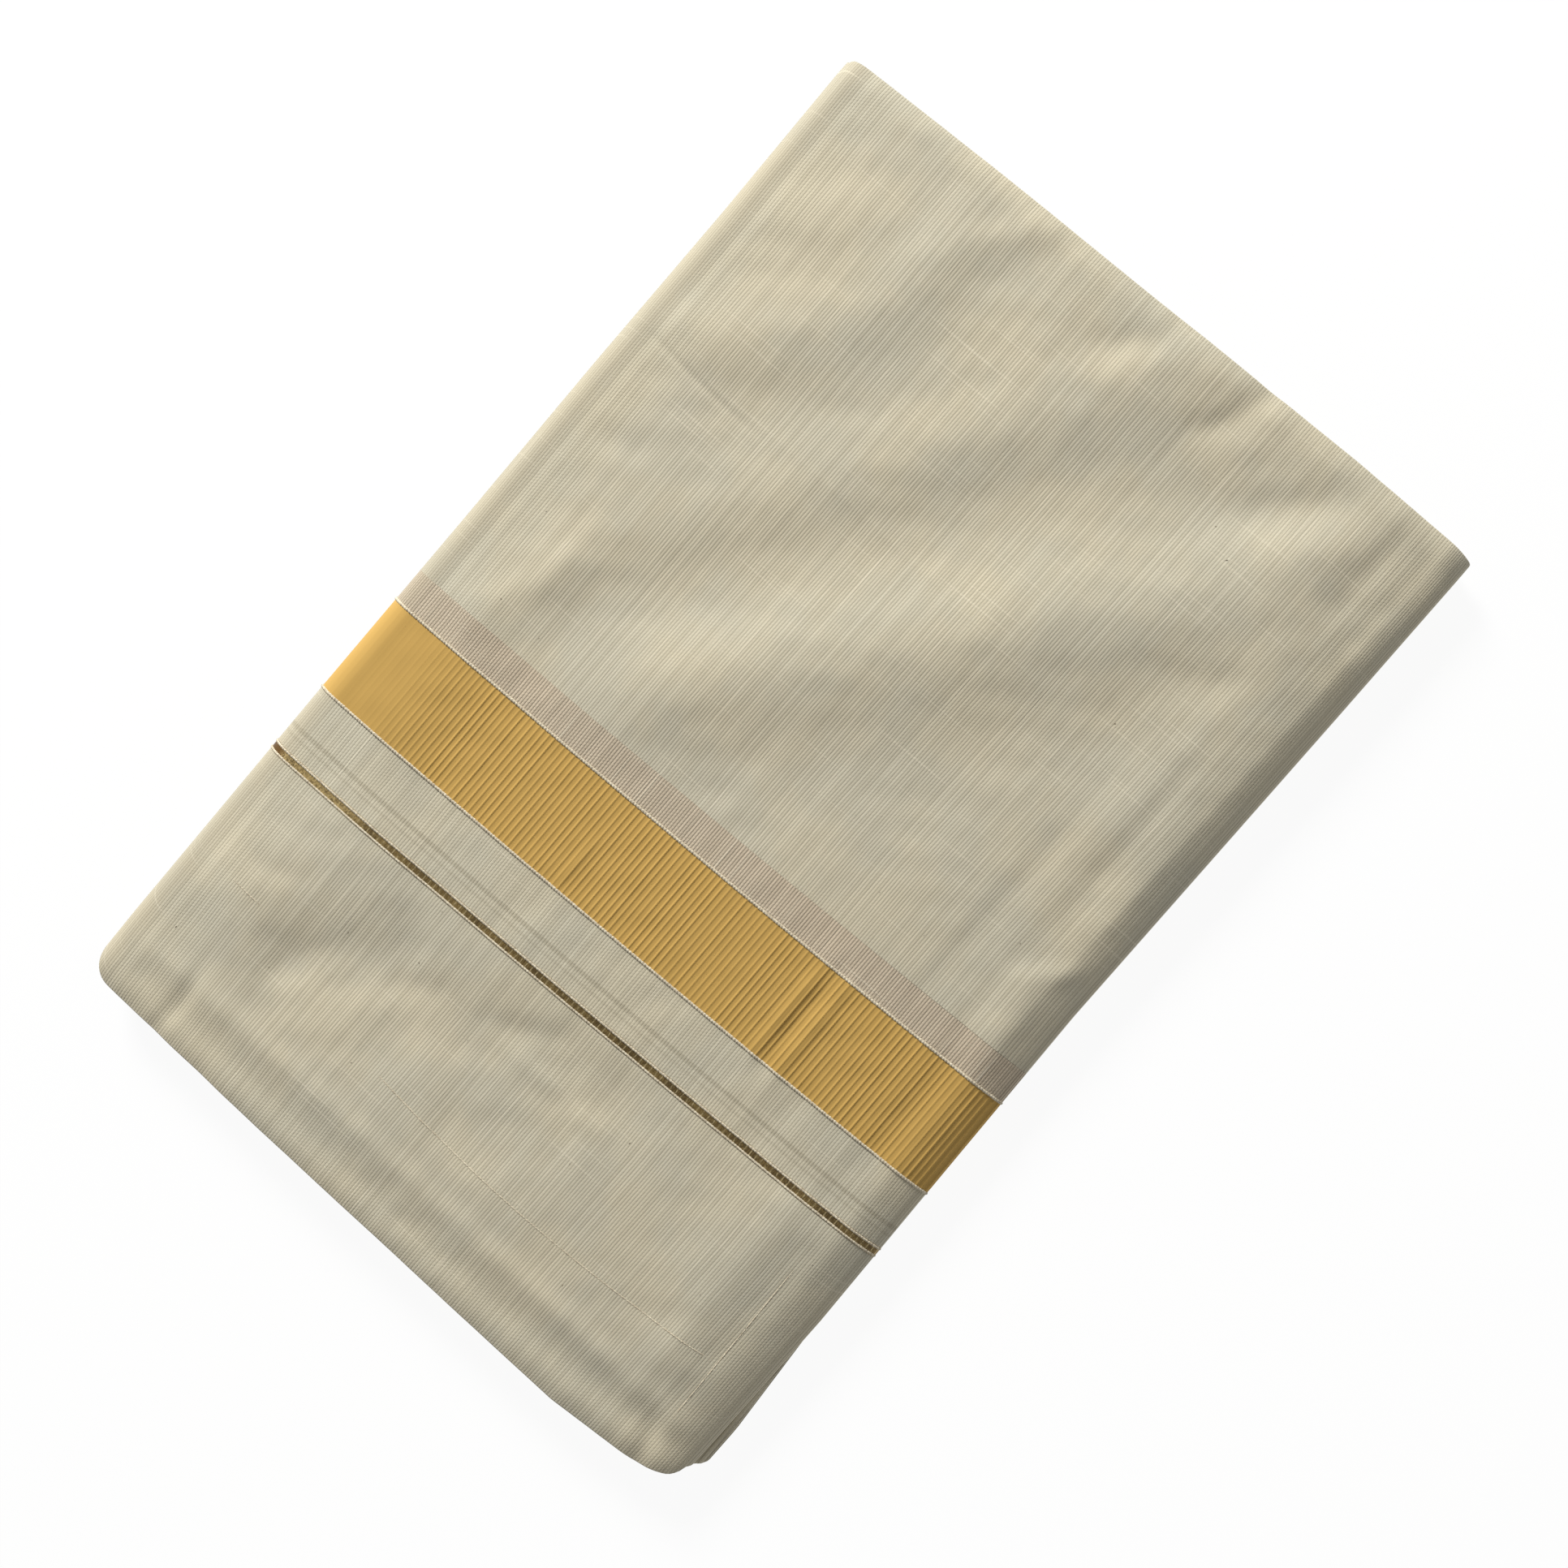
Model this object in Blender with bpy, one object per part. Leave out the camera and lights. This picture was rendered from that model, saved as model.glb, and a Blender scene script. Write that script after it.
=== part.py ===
"""A cotton dhoti with a woven gold border, folded into a flat pack that lies on a table.

The cloth is 4.0 m long and 1.27 m wide. Its width is folded into a strip of three thicknesses and a
bit, and the strip is halved four times, so sixteen strips lie on each other. The outermost strip is
the wall that shows: it starts inside the fold of the upper strips, runs over the top, round the last
fold, and back along the underside to its free end. The borders are woven into it and run all the way
round. The fourteen strips inside it are one solid, layered at its edges.

Frame: X across the pack, Y along it, Z up. The pack rests on Z = 0, and the origin is under its centre.
All sizes are in metres.
"""

import math
from typing import NamedTuple

import bmesh
import bpy
import numpy as np

CLOTH_LENGTH = 4.0
HALVINGS = 4
STRIPS = 2**HALVINGS
PACK_WIDTH = CLOTH_LENGTH / STRIPS
STRIP_THICKNESS = 0.00099
HEIGHT = STRIPS * STRIP_THICKNESS

WALL = 0.001
GAP = 0.0003
SIDE_CLEARANCE = 0.0009

# How the pack rounds away at its edges
CROWN_DROP = 0.0013
CROWN_CURVE = 2.2
END_DROP = 0.0018
END_RUN = 0.009
END_CURVE = 2.2
LEFT_FOLD_UP = 0.009
LEFT_FOLD_LOW = 0.007
RIGHT_FOLD_LOW = 0.005
LEG_REACH = 0.012

# The upper strips' right fold slopes down first and turns under close to its widest level, which is
# given as a share of the fold's height and of the inside height
RIGHT_SLOPE_CURVE = 1.5
RIGHT_WIDEST = 0.28
RIGHT_WIDEST_INSIDE = 0.745

# Where the upper strips part from the lower ones at the right, as shares of the inside height
STRIPS_BELOW = 7
STRIPS_ABOVE = 6
SPLIT_LOW = 0.52
SPLIT_HIGH = 0.685
FOLD_ALLOWANCE = 0.0018

# Edges of the woven stripes, as Y
OPEN_WEAVE_FAR = -0.0203
BAND_FAR = -0.0325
BAND_NEAR = -0.0695
LINE_FAR = -0.0920
LINE_NEAR = -0.0957
STRIPE_BOW = 0.0020
STRIPE_BOW_CENTRE = -0.045
STRIPE_BOW_REACH = 0.170

# Ribs of the gold band
RIB_PITCH = 0.0021
RIB_HEIGHT = 0.0003
RIB_CREST = (0.3, 0.7)
RIBS_END = 5.7

# The underside's near end runs aslant, so the lower strips end short of the upper ones at the right
UNDERSIDE_NEAR_LEFT = -0.1870
UNDERSIDE_NEAR_RIGHT = -0.1780
UNDERSIDE_FAR = 0.1915

# Folded edges of the hidden strips
LIP_DEPTH = 0.0005
LIP_CREST = (0.28, 0.72)
LIP_SWAY = 0.0006
LIP_SWAY_TURN = 2.4
LIP_SWAY_START = 0.7
LEAST_CORNER = 0.003

# Folded edge of the outermost strip
EDGE_ROUND = 0.0004
EDGE_PINCH = 0.3

# How finely the shapes are cut
TOP_POINTS = 20
FOLD_POINTS = 5
SLOPE_POINTS = 7
INNER_END_POINTS = 9
RIB_SEARCH_POINTS = 2001
PANEL_STEP = 0.0135
UPPER_END_ROWS = (0.0, EDGE_ROUND, 0.0025, 0.0055, 0.009)
LOWER_END_ROWS = (0.0, EDGE_ROUND, 0.0025, 0.0055, 0.009, 0.014, 0.019, 0.025)
PATH_STEP = 0.01

# The path round the outermost strip: leg, two quarters of the right fold, top, two quarters of the
# left fold, underside
ZONES = 7
TOP_ZONE = 3


class Station(NamedTuple):
    """The pack's long edges, and how far its right fold reaches in, at one place along it."""

    y: float
    left: float
    upper_right: float
    lower_right: float
    right_reach: float


STATIONS = (
    Station(y=-0.1943, left=-0.1283, upper_right=0.1237, lower_right=0.1273, right_reach=0.0150),
    Station(y=-0.1650, left=-0.1285, upper_right=0.1247, lower_right=0.1279, right_reach=0.0150),
    Station(y=-0.1200, left=-0.1282, upper_right=0.1257, lower_right=0.1255, right_reach=0.0145),
    Station(y=-0.0720, left=-0.1279, upper_right=0.1253, lower_right=0.1241, right_reach=0.0140),
    Station(y=0.0050, left=-0.1269, upper_right=0.1248, lower_right=0.1236, right_reach=0.0130),
    Station(y=0.0670, left=-0.1264, upper_right=0.1261, lower_right=0.1247, right_reach=0.0110),
    Station(y=0.1300, left=-0.1253, upper_right=0.1274, lower_right=0.1258, right_reach=0.0100),
    Station(y=0.1943, left=-0.1251, upper_right=0.1285, lower_right=0.1267, right_reach=0.0090),
)


class EndLine(NamedTuple):
    """The folded ends of the top strip at one place across the pack."""

    x: float
    near: float
    far: float


END_LINES = (
    EndLine(x=-0.1285, near=-0.1878, far=0.1938),
    EndLine(x=-0.0633, near=-0.1904, far=0.1943),
    EndLine(x=0.0000, near=-0.1921, far=0.1940),
    EndLine(x=0.0775, near=-0.1943, far=0.1940),
    EndLine(x=0.1089, near=-0.1922, far=0.1932),
    EndLine(x=0.1285, near=-0.1890, far=0.1926),
)


class Corner(NamedTuple):
    """The radius of the top strip's corner in plan, by the sides that meet there."""

    side: str
    end: str
    radius: float


CORNERS = (
    Corner(side="left", end="near", radius=0.0100),
    Corner(side="left", end="far", radius=0.0018),
    Corner(side="right", end="near", radius=0.0035),
    Corner(side="right", end="far", radius=0.0030),
)


class Fold(NamedTuple):
    """A soft ridge or trough of the top strip, along a bent line."""

    name: str
    start: tuple
    end: tuple
    bow: float
    width: float
    height: float


FOLDS = (
    Fold("long_ridge", (0.105, 0.166), (-0.055, -0.014), bow=-0.001, width=0.0200, height=0.0026),
    Fold("long_trough", (0.069, 0.172), (-0.071, 0.001), bow=-0.010, width=0.0256, height=-0.0017),
    Fold("second_ridge", (0.028, 0.193), (-0.094, 0.014), bow=0.005, width=0.0134, height=0.0010),
    Fold("far_left_trough", (-0.033, 0.170), (-0.091, 0.072), bow=0.012, width=0.0150, height=-0.0005),
    Fold("far_left_ridge", (-0.059, 0.173), (-0.113, 0.090), bow=0.014, width=0.0137, height=0.0013),
    Fold("lower_trough", (0.085, 0.084), (-0.026, -0.020), bow=0.007, width=0.0209, height=-0.0008),
    Fold("far_right", (0.123, 0.186), (0.107, 0.150), bow=0.002, width=0.0133, height=-0.0016),
    Fold("right_ridge", (0.103, 0.135), (0.098, 0.052), bow=0.002, width=0.0139, height=0.0014),
    Fold("near_left_ridge", (-0.075, -0.088), (-0.108, -0.146), bow=-0.002, width=0.0216, height=0.0016),
    Fold("near_left_trough", (-0.047, -0.113), (-0.084, -0.148), bow=0.003, width=0.0123, height=-0.0016),
    Fold("near_middle", (0.042, -0.107), (-0.043, -0.133), bow=-0.003, width=0.0147, height=-0.0015),
    Fold("near_end", (-0.108, -0.179), (0.118, -0.181), bow=-0.002, width=0.0058, height=-0.0009),
    Fold("near_right", (0.106, -0.090), (0.109, -0.175), bow=0.000, width=0.0065, height=-0.0004),
    Fold("near_right_swell", (0.099, -0.094), (0.096, -0.164), bow=-0.004, width=0.0159, height=0.0019),
    Fold("near_middle_swell", (0.029, -0.128), (-0.008, -0.152), bow=0.000, width=0.0129, height=-0.0009),
    Fold("left_swell", (-0.088, 0.017), (-0.106, -0.024), bow=0.000, width=0.0108, height=0.0013),
)
FOLD_FADE = 0.012
LEFT_STILL = 0.004
FOLD_END_FADE = 0.12


class Bundle(NamedTuple):
    """Lower strips that end together at the right, as shares of the inside height."""

    low: float
    high: float
    back: float
    depth: float


RIGHT_BUNDLES = (
    Bundle(low=0.0, high=SPLIT_LOW / STRIPS_BELOW, back=0.0006, depth=0.0004),
    Bundle(low=SPLIT_LOW / STRIPS_BELOW, high=SPLIT_LOW * 3 / STRIPS_BELOW, back=0.0014, depth=0.0012),
    Bundle(low=SPLIT_LOW * 3 / STRIPS_BELOW, high=SPLIT_LOW, back=0.0, depth=0.0030),
)


class Finish(NamedTuple):
    """Plain colour and gloss of one material."""

    name: str
    color: tuple
    roughness: float
    metallic: float


COTTON = Finish("unbleached_cotton", color=(0.47, 0.42, 0.31), roughness=0.9, metallic=0.0)
OPEN_COTTON = Finish("open_weave_cotton", color=(0.41, 0.35, 0.25), roughness=0.9, metallic=0.0)
ZARI = Finish("zari_gold", color=(0.50, 0.31, 0.08), roughness=0.38, metallic=0.9)
INNER_COTTON = Finish("inner_cotton", color=(0.44, 0.39, 0.29), roughness=0.9, metallic=0.0)


def smooth(share):
    """0 to 1 with level ends."""
    share = np.clip(share, 0.0, 1.0)
    return share * share * (3 - 2 * share)


def mix(a, b, share):
    """Between a and b."""
    return a + (b - a) * share


def column(table, name):
    """One named column of a table."""
    return [getattr(row, name) for row in table]


def edge_at(name, y):
    """One of the stations' columns at Y."""
    return np.interp(y, column(STATIONS, "y"), column(STATIONS, name))


def fold_line_at(end, x, level):
    """Y of a folded end before its corners are rounded; level is 0 on the underside and 1 on the top."""
    top = np.interp(x, column(END_LINES, "x"), column(END_LINES, end))
    across = np.clip(x / PACK_WIDTH + 0.5, 0.0, 1.0)
    under = mix(UNDERSIDE_NEAR_LEFT, UNDERSIDE_NEAR_RIGHT, across) if end == "near" else UNDERSIDE_FAR
    return mix(under, top, smooth(level))


def corner_cut(side, end, x, y):
    """How far the folded end draws back at X, because the corner is round."""
    radius = next(c.radius for c in CORNERS if c.side == side and c.end == end)
    edge = edge_at("left" if side == "left" else "upper_right", y)
    inside = np.abs(x - edge) if side == "left" else np.maximum(edge - x, 0.0)
    reach = np.clip(1 - inside / radius, 0.0, 1.0)
    return radius * (1 - np.sqrt(1 - reach**2))


def end_at(end, x, level):
    """Y of the strip's folded end at X."""
    y = fold_line_at(end, x, level)
    cut = corner_cut("left", end, x, y) + corner_cut("right", end, x, y)
    return y + cut if end == "near" else y - cut


def top_height(x, y):
    """Height of the pack with no folds in it: a low crown that rounds down at both ends."""
    across = np.clip(np.abs(x) / (PACK_WIDTH / 2), 0.0, 1.0)
    past_far = y - (end_at("far", x, 1.0) - END_RUN)
    past_near = end_at("near", x, 1.0) + END_RUN - y
    past = np.clip(np.maximum(past_far, past_near) / END_RUN, 0.0, 1.0)
    return HEIGHT - CROWN_DROP * across**CROWN_CURVE - END_DROP * past**END_CURVE


def stripe_bow(x):
    """The woven stripes aren't quite straight: they drift towards the far end at both sides."""
    return STRIPE_BOW * ((x - STRIPE_BOW_CENTRE) / STRIPE_BOW_REACH) ** 2


def inside_level(share, x, y):
    """Z at a share of the height inside the outermost strip."""
    low = WALL + GAP
    return low + share * (top_height(x, y) - 2 * low - FOLD_ALLOWANCE)


def fold_relief(x, y):
    """Height that the soft folds add to the top strip."""
    total = np.zeros(np.shape(x))
    for fold in FOLDS:
        (x0, y0), (x1, y1) = fold.start, fold.end
        length = math.hypot(x1 - x0, y1 - y0)
        ux, uy = (x1 - x0) / length, (y1 - y0) / length
        along = ((x - x0) * ux + (y - y0) * uy) / length
        aside = (x - x0) * -uy + (y - y0) * ux - fold.bow * (1 - (2 * along - 1) ** 2)
        from_end = np.minimum(along, 1 - along)
        ends = smooth((from_end + FOLD_END_FADE) / (2 * FOLD_END_FADE))
        total = total + fold.height * ends * np.exp(-((aside / fold.width) ** 2))
    return total


def wall_path(u, y):
    """X and Z of the outermost strip's outer face: the whole part of u is the zone."""
    zone = np.minimum(np.floor(u), ZONES - 1).astype(int)
    t = u - zone
    turn = t * math.pi / 2
    left, right, lower = (edge_at(name, y) for name in ("left", "upper_right", "lower_right"))
    reach = edge_at("right_reach", y)
    leg_x = right - RIGHT_FOLD_LOW
    leg = inside_level(SPLIT_LOW, leg_x, y) + GAP
    shoulder = top_height(right - reach, y)
    widest = mix(leg, shoulder, RIGHT_WIDEST)
    left_top = top_height(left + LEFT_FOLD_UP, y)
    top_x = mix(right - reach, left + LEFT_FOLD_UP, t)
    zones = [zone == index for index in range(ZONES)]
    x = np.select(
        zones,
        [
            mix(right - LEG_REACH, leg_x, t),
            leg_x + RIGHT_FOLD_LOW * np.sin(turn),
            right - reach * (1 - np.cos(turn) ** (2 / RIGHT_SLOPE_CURVE)),
            top_x,
            left + LEFT_FOLD_UP * (1 - np.sin(turn)),
            left + LEFT_FOLD_LOW * (1 - np.cos(turn)),
            mix(left + LEFT_FOLD_LOW, lower - WALL, t),
        ],
    )
    z = np.select(
        zones,
        [
            leg,
            widest - (widest - leg) * np.cos(turn),
            widest + (shoulder - widest) * np.sin(turn) ** (2 / RIGHT_SLOPE_CURVE),
            top_height(top_x, y),
            left_top / 2 * (1 + np.cos(turn)),
            left_top / 2 * (1 - np.sin(turn)),
            np.zeros(np.shape(t)),
        ],
    )
    still = smooth((x - left - LEFT_STILL) / FOLD_FADE) * smooth((right - x) / FOLD_FADE)
    on_top = (zone >= TOP_ZONE - 1) & (zone <= TOP_ZONE + 1)
    return x, z + on_top * still * fold_relief(x, y)


def wall_points(u, y, out):
    """Points of the outermost strip, moved out from its outer face by a distance."""
    x, z = wall_path(u, y)
    x_on, z_on = wall_path(np.minimum(u + PATH_STEP, ZONES), y)
    x_back, z_back = wall_path(np.maximum(u - PATH_STEP, 0.0), y)
    along_x, along_z = x_on - x_back, z_on - z_back
    length = np.hypot(along_x, along_z)
    return np.stack([x + out * along_z / length, y, z - out * along_x / length], axis=-1)


def plain_path():
    """u of each point round a plain strip: close on the folds, none between on the flat runs."""
    counts = {1: FOLD_POINTS - 1, 2: SLOPE_POINTS, 3: TOP_POINTS, 4: FOLD_POINTS, 5: FOLD_POINTS}
    zones = [np.linspace(zone, zone + 1, count)[1:] for zone, count in counts.items()]
    return np.concatenate([[0.0, 1.0], *zones, [float(ZONES)]])


def ribbed_path(y):
    """u and height of each point round the gold band: ribs at even steps where it shows, plain below."""
    fine = np.linspace(1, RIBS_END, RIB_SEARCH_POINTS)
    x, z = wall_path(fine, np.full(fine.shape, y))
    run = np.concatenate([[0.0], np.cumsum(np.hypot(np.diff(x), np.diff(z)))])
    ribs = round(run[-1] / RIB_PITCH)
    places, heights = [], []
    for rib in range(ribs):
        places += [rib, rib + RIB_CREST[0], rib + RIB_CREST[1]]
        heights += [0.0, RIB_HEIGHT, RIB_HEIGHT]
    ribbed = np.interp(np.array([*places, ribs]) / ribs * run[-1], run, fine)
    u = np.concatenate([[0.0], ribbed, [ZONES - 1.0, float(ZONES)]])
    return u, np.array([0.0, *heights, 0.0, 0.0, 0.0])


def stripe_line(y):
    """A function that gives Y of a woven edge at X on any level."""
    return lambda x, level: y + stripe_bow(x)


def end_line(end):
    """A function that gives Y of the folded end at X on any level."""
    return lambda x, level: end_at(end, x, level)


class Stretch(NamedTuple):
    """One stretch of the outermost strip, between two lines across it.

    shares are its rows from near to far, and folded_end is the side where the strip's own fold is.
    """

    name: str
    near: object
    far: object
    shares: object
    finish: Finish
    folded_end: str = ""
    ribbed: bool = False


def wall_grid(stretch, u, outs):
    """Rows of points of a stretch; outs holds, for each row, how far its points lie from the outer face."""
    middle = np.zeros(u.shape)
    for _ in range(2):
        x, z = wall_path(u, middle)
        y_near, y_far = stretch.near(x, z / HEIGHT), stretch.far(x, z / HEIGHT)
        middle = (y_near + y_far) / 2
    return [wall_points(u, mix(y_near, y_far, share), out) for share, out in zip(stretch.shares, outs)]


def add_faces(shape, row, following):
    """Faces between two rows of vertices that have the same count."""
    for i in range(len(row) - 1):
        shape.faces.new((row[i], row[i + 1], following[i + 1], following[i]))


def zip_faces(shape, many, few, many_u, few_u):
    """Faces that join a row of many vertices to a row of few, each by its place u along the path."""
    j = 0
    for i in range(len(many) - 1):
        shape.faces.new((many[i], many[i + 1], few[j]))
        while j < len(few) - 1 and many_u[i + 1] >= (few_u[j] + few_u[j + 1]) / 2:
            shape.faces.new((many[i + 1], few[j + 1], few[j]))
            j += 1


def material_of(finish):
    """The finish's material, made once."""
    found = bpy.data.materials.get(finish.name)
    if found:
        return found
    material = bpy.data.materials.new(finish.name)
    material.use_nodes = True
    shader = material.node_tree.nodes["Principled BSDF"]
    shader.inputs["Base Color"].default_value = (*finish.color, 1.0)
    shader.inputs["Roughness"].default_value = finish.roughness
    shader.inputs["Metallic"].default_value = finish.metallic
    return material


def add_object(name, shape, finish, parent):
    """Turns a closed bmesh into a named object with its material."""
    bmesh.ops.recalc_face_normals(shape, faces=shape.faces)
    mesh = bpy.data.meshes.new(name)
    shape.to_mesh(mesh)
    shape.free()
    mesh.shade_smooth()
    mesh.set_sharp_from_angle(angle=math.radians(40))
    mesh.materials.append(material_of(finish))
    obj = bpy.data.objects.new(name, mesh)
    obj.parent = parent
    bpy.context.scene.collection.objects.link(obj)


def add_stretch(stretch, parent):
    """A wall round the pack: an outer skin, a plain inner one, and the edges that close them."""
    inner_u = plain_path()
    outer_u, rise = inner_u, np.zeros(inner_u.shape)
    if stretch.ribbed:
        outer_u, rise = ribbed_path((BAND_FAR + BAND_NEAR) / 2)
    # The row at a folded end is pinched from both faces, so that the edge is round and not sawn off.
    pinches = [0.0] * len(stretch.shares)
    if stretch.folded_end:
        pinches[0 if stretch.folded_end == "near" else -1] = EDGE_PINCH * WALL
    outer = wall_grid(stretch, outer_u, [rise - pinch for pinch in pinches])
    inner = wall_grid(stretch, inner_u, [pinch - WALL for pinch in pinches])
    shape = bmesh.new()
    skin = [[shape.verts.new(point) for point in row] for row in outer]
    back = [[shape.verts.new(point) for point in row] for row in inner]
    for grid in (skin, back):
        for row, following in zip(grid, grid[1:]):
            add_faces(shape, row, following)
    for row in (0, -1):
        if stretch.ribbed:
            zip_faces(shape, skin[row], back[row], outer_u, inner_u)
        else:
            add_faces(shape, skin[row], back[row])
    for side in (0, -1):
        add_faces(shape, [row[side] for row in skin], [row[side] for row in back])
    add_object(stretch.name, shape, stretch.finish, parent)


def round_off(from_middle):
    """How far a round edge draws back, from 0 at its middle to 1 at its top and bottom."""
    return 1 - math.sqrt(max(0.0, 1 - from_middle**2))


def right_of_inside(share, y):
    """X of the hidden strips' right edge at a share of the inside height."""
    upper, lower = edge_at("upper_right", y), edge_at("lower_right", y)
    inside = WALL + SIDE_CLEARANCE
    if SPLIT_LOW <= share <= SPLIT_HIGH:
        return upper - LEG_REACH - GAP
    if share > RIGHT_WIDEST_INSIDE:
        above = (share - RIGHT_WIDEST_INSIDE) / (1 - RIGHT_WIDEST_INSIDE)
        drawn = 1 - (1 - min(1.0, above) ** RIGHT_SLOPE_CURVE) ** (1 / RIGHT_SLOPE_CURVE)
        return upper - inside - (edge_at("right_reach", y) - inside + GAP) * drawn
    if share > SPLIT_HIGH:
        below = (RIGHT_WIDEST_INSIDE - share) / (RIGHT_WIDEST_INSIDE - SPLIT_HIGH)
        return upper - inside - (RIGHT_FOLD_LOW - inside + GAP) * round_off(below)
    bundle = next(b for b in RIGHT_BUNDLES if share <= b.high)
    from_middle = 2 * (share - bundle.low) / (bundle.high - bundle.low) - 1
    return lower - bundle.back - bundle.depth * round_off(from_middle)


def left_of_inside(share, y):
    """X of the hidden strips' left edge, inside the last fold."""
    from_middle = 2 * share - 1
    fold = LEFT_FOLD_UP if from_middle > 0 else LEFT_FOLD_LOW
    inside = WALL + SIDE_CLEARANCE
    return edge_at("left", y) + inside + (fold - inside + GAP) * round_off(from_middle)


def corner_places(side, end, turns):
    """Places on one round corner of the plan, as shares across and along."""
    radius = max(LEAST_CORNER, next(c.radius for c in CORNERS if c.side == side and c.end == end))
    for turn in turns:
        across = radius / PACK_WIDTH * (1 - math.cos(turn))
        along = radius / (STATIONS[-1].y - STATIONS[0].y) * (1 - math.sin(turn))
        yield (across if side == "left" else 1 - across, along if end == "near" else 1 - along)


def ring_places():
    """Places round the plan of the hidden strips, as shares across and along."""
    near, far = STATIONS[0].y, STATIONS[-1].y
    stations = (near + END_RUN, *column(STATIONS[1:-1], "y"), far - END_RUN)
    across = np.linspace(0.0, 1.0, INNER_END_POINTS)[1:-1]
    along = [(y - near) / (far - near) for y in stations]
    turns = [0.0, math.pi / 4, math.pi / 2]
    return [
        *corner_places("left", "near", turns),
        *((place, 0.0) for place in across),
        *corner_places("right", "near", turns[::-1]),
        *((1.0, place) for place in along),
        *corner_places("right", "far", turns),
        *((place, 1.0) for place in across[::-1]),
        *corner_places("left", "far", turns[::-1]),
        *((0.0, place) for place in along[::-1]),
    ]


def inner_ring(share, draw_back):
    """One closed ring of the hidden strips, drawn back from the folded ends by a distance."""
    ring = []
    for across, along in ring_places():
        y = mix(STATIONS[0].y, STATIONS[-1].y, along)
        for _ in range(2):
            x = mix(left_of_inside(share, y), right_of_inside(share, y), across)
            near, far = fold_line_at("near", x, share), fold_line_at("far", x, share)
            y = mix(near + draw_back, far - draw_back, along)
        ring.append((x, y, inside_level(share, x, y)))
    return ring


def add_inner_layers(parent):
    """The fourteen hidden strips as one solid: each shows as a rounded lip at the pack's edges."""
    below = np.linspace(0.0, SPLIT_LOW, STRIPS_BELOW + 1)
    above = np.linspace(SPLIT_HIGH, 1.0, STRIPS_ABOVE + 1)
    levels = np.concatenate([below, above])
    rings = []
    for index, (low, high) in enumerate(zip(levels, levels[1:])):
        sway = LIP_SWAY * (1 + math.sin(LIP_SWAY_TURN * index + LIP_SWAY_START))
        rings.append(inner_ring(low, LIP_DEPTH + sway))
        rings += [inner_ring(mix(low, high, crest), sway) for crest in LIP_CREST]
    rings.append(inner_ring(1.0, LIP_DEPTH + LIP_SWAY))
    rings.append(inner_ring(1.0, END_RUN))
    shape = bmesh.new()
    loops = [[shape.verts.new(point) for point in ring] for ring in rings]
    for low, high in zip(loops, loops[1:]):
        add_faces(shape, low + low[:1], high + high[:1])
    shape.faces.new(loops[0][::-1])
    shape.faces.new(loops[-1])
    add_object("inner_layers", shape, INNER_COTTON, parent)


def panel_shares(length, end_rows, folded_end):
    """Rows of a panel: close ones by its folded end, then even steps to the stripe."""
    count = round((length - end_rows[-1]) / PANEL_STEP) + 1
    from_end = np.array([*end_rows, *np.linspace(end_rows[-1], length, count)[1:]]) / length
    return from_end if folded_end == "near" else (1 - from_end)[::-1]


def stretches():
    """The stretches of the outermost strip, from the far end to the near one."""
    seam = GAP / 2
    upper_shares = panel_shares(STATIONS[-1].y - OPEN_WEAVE_FAR, UPPER_END_ROWS, "far")
    lower_shares = panel_shares(LINE_NEAR - STATIONS[0].y, LOWER_END_ROWS, "near")
    yield Stretch(
        "upper_panel", stripe_line(OPEN_WEAVE_FAR + seam), end_line("far"), upper_shares, COTTON, "far"
    )
    yield Stretch(
        "open_weave_strip",
        stripe_line(BAND_FAR + seam),
        stripe_line(OPEN_WEAVE_FAR - seam),
        (0, 1),
        OPEN_COTTON,
    )
    yield Stretch(
        "zari_band",
        stripe_line(BAND_NEAR + seam),
        stripe_line(BAND_FAR - seam),
        np.linspace(0, 1, 4),
        ZARI,
        ribbed=True,
    )
    yield Stretch(
        "border_gap", stripe_line(LINE_FAR + seam), stripe_line(BAND_NEAR - seam), (0, 0.5, 1), COTTON
    )
    yield Stretch("zari_line", stripe_line(LINE_NEAR + seam), stripe_line(LINE_FAR - seam), (0, 1), ZARI)
    yield Stretch(
        "lower_panel", end_line("near"), stripe_line(LINE_NEAR - seam), lower_shares, COTTON, "near"
    )


def build():
    """Clears the scene and builds the pack."""
    for obj in list(bpy.data.objects):
        bpy.data.objects.remove(obj)
    pack = bpy.data.objects.new("folded_dhoti", None)
    bpy.context.scene.collection.objects.link(pack)
    for stretch in stretches():
        add_stretch(stretch, pack)
    add_inner_layers(pack)


if __name__ == "__main__":
    build()
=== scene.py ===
"""Looks of a cotton dhoti with a woven gold border, folded into a flat pack on a pale floor.

The outermost strip of the pack is rebuilt as thin cloth with its creases, gold ribs, edge cords and
threads, and the hidden strips as nested folded edges. X runs across the pack, Y along it, Z up, and
all sizes are in metres.
"""

from __future__ import annotations

import logging
import math
import random
from dataclasses import dataclass, field
from enum import Enum
from typing import Callable, Sequence

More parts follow.
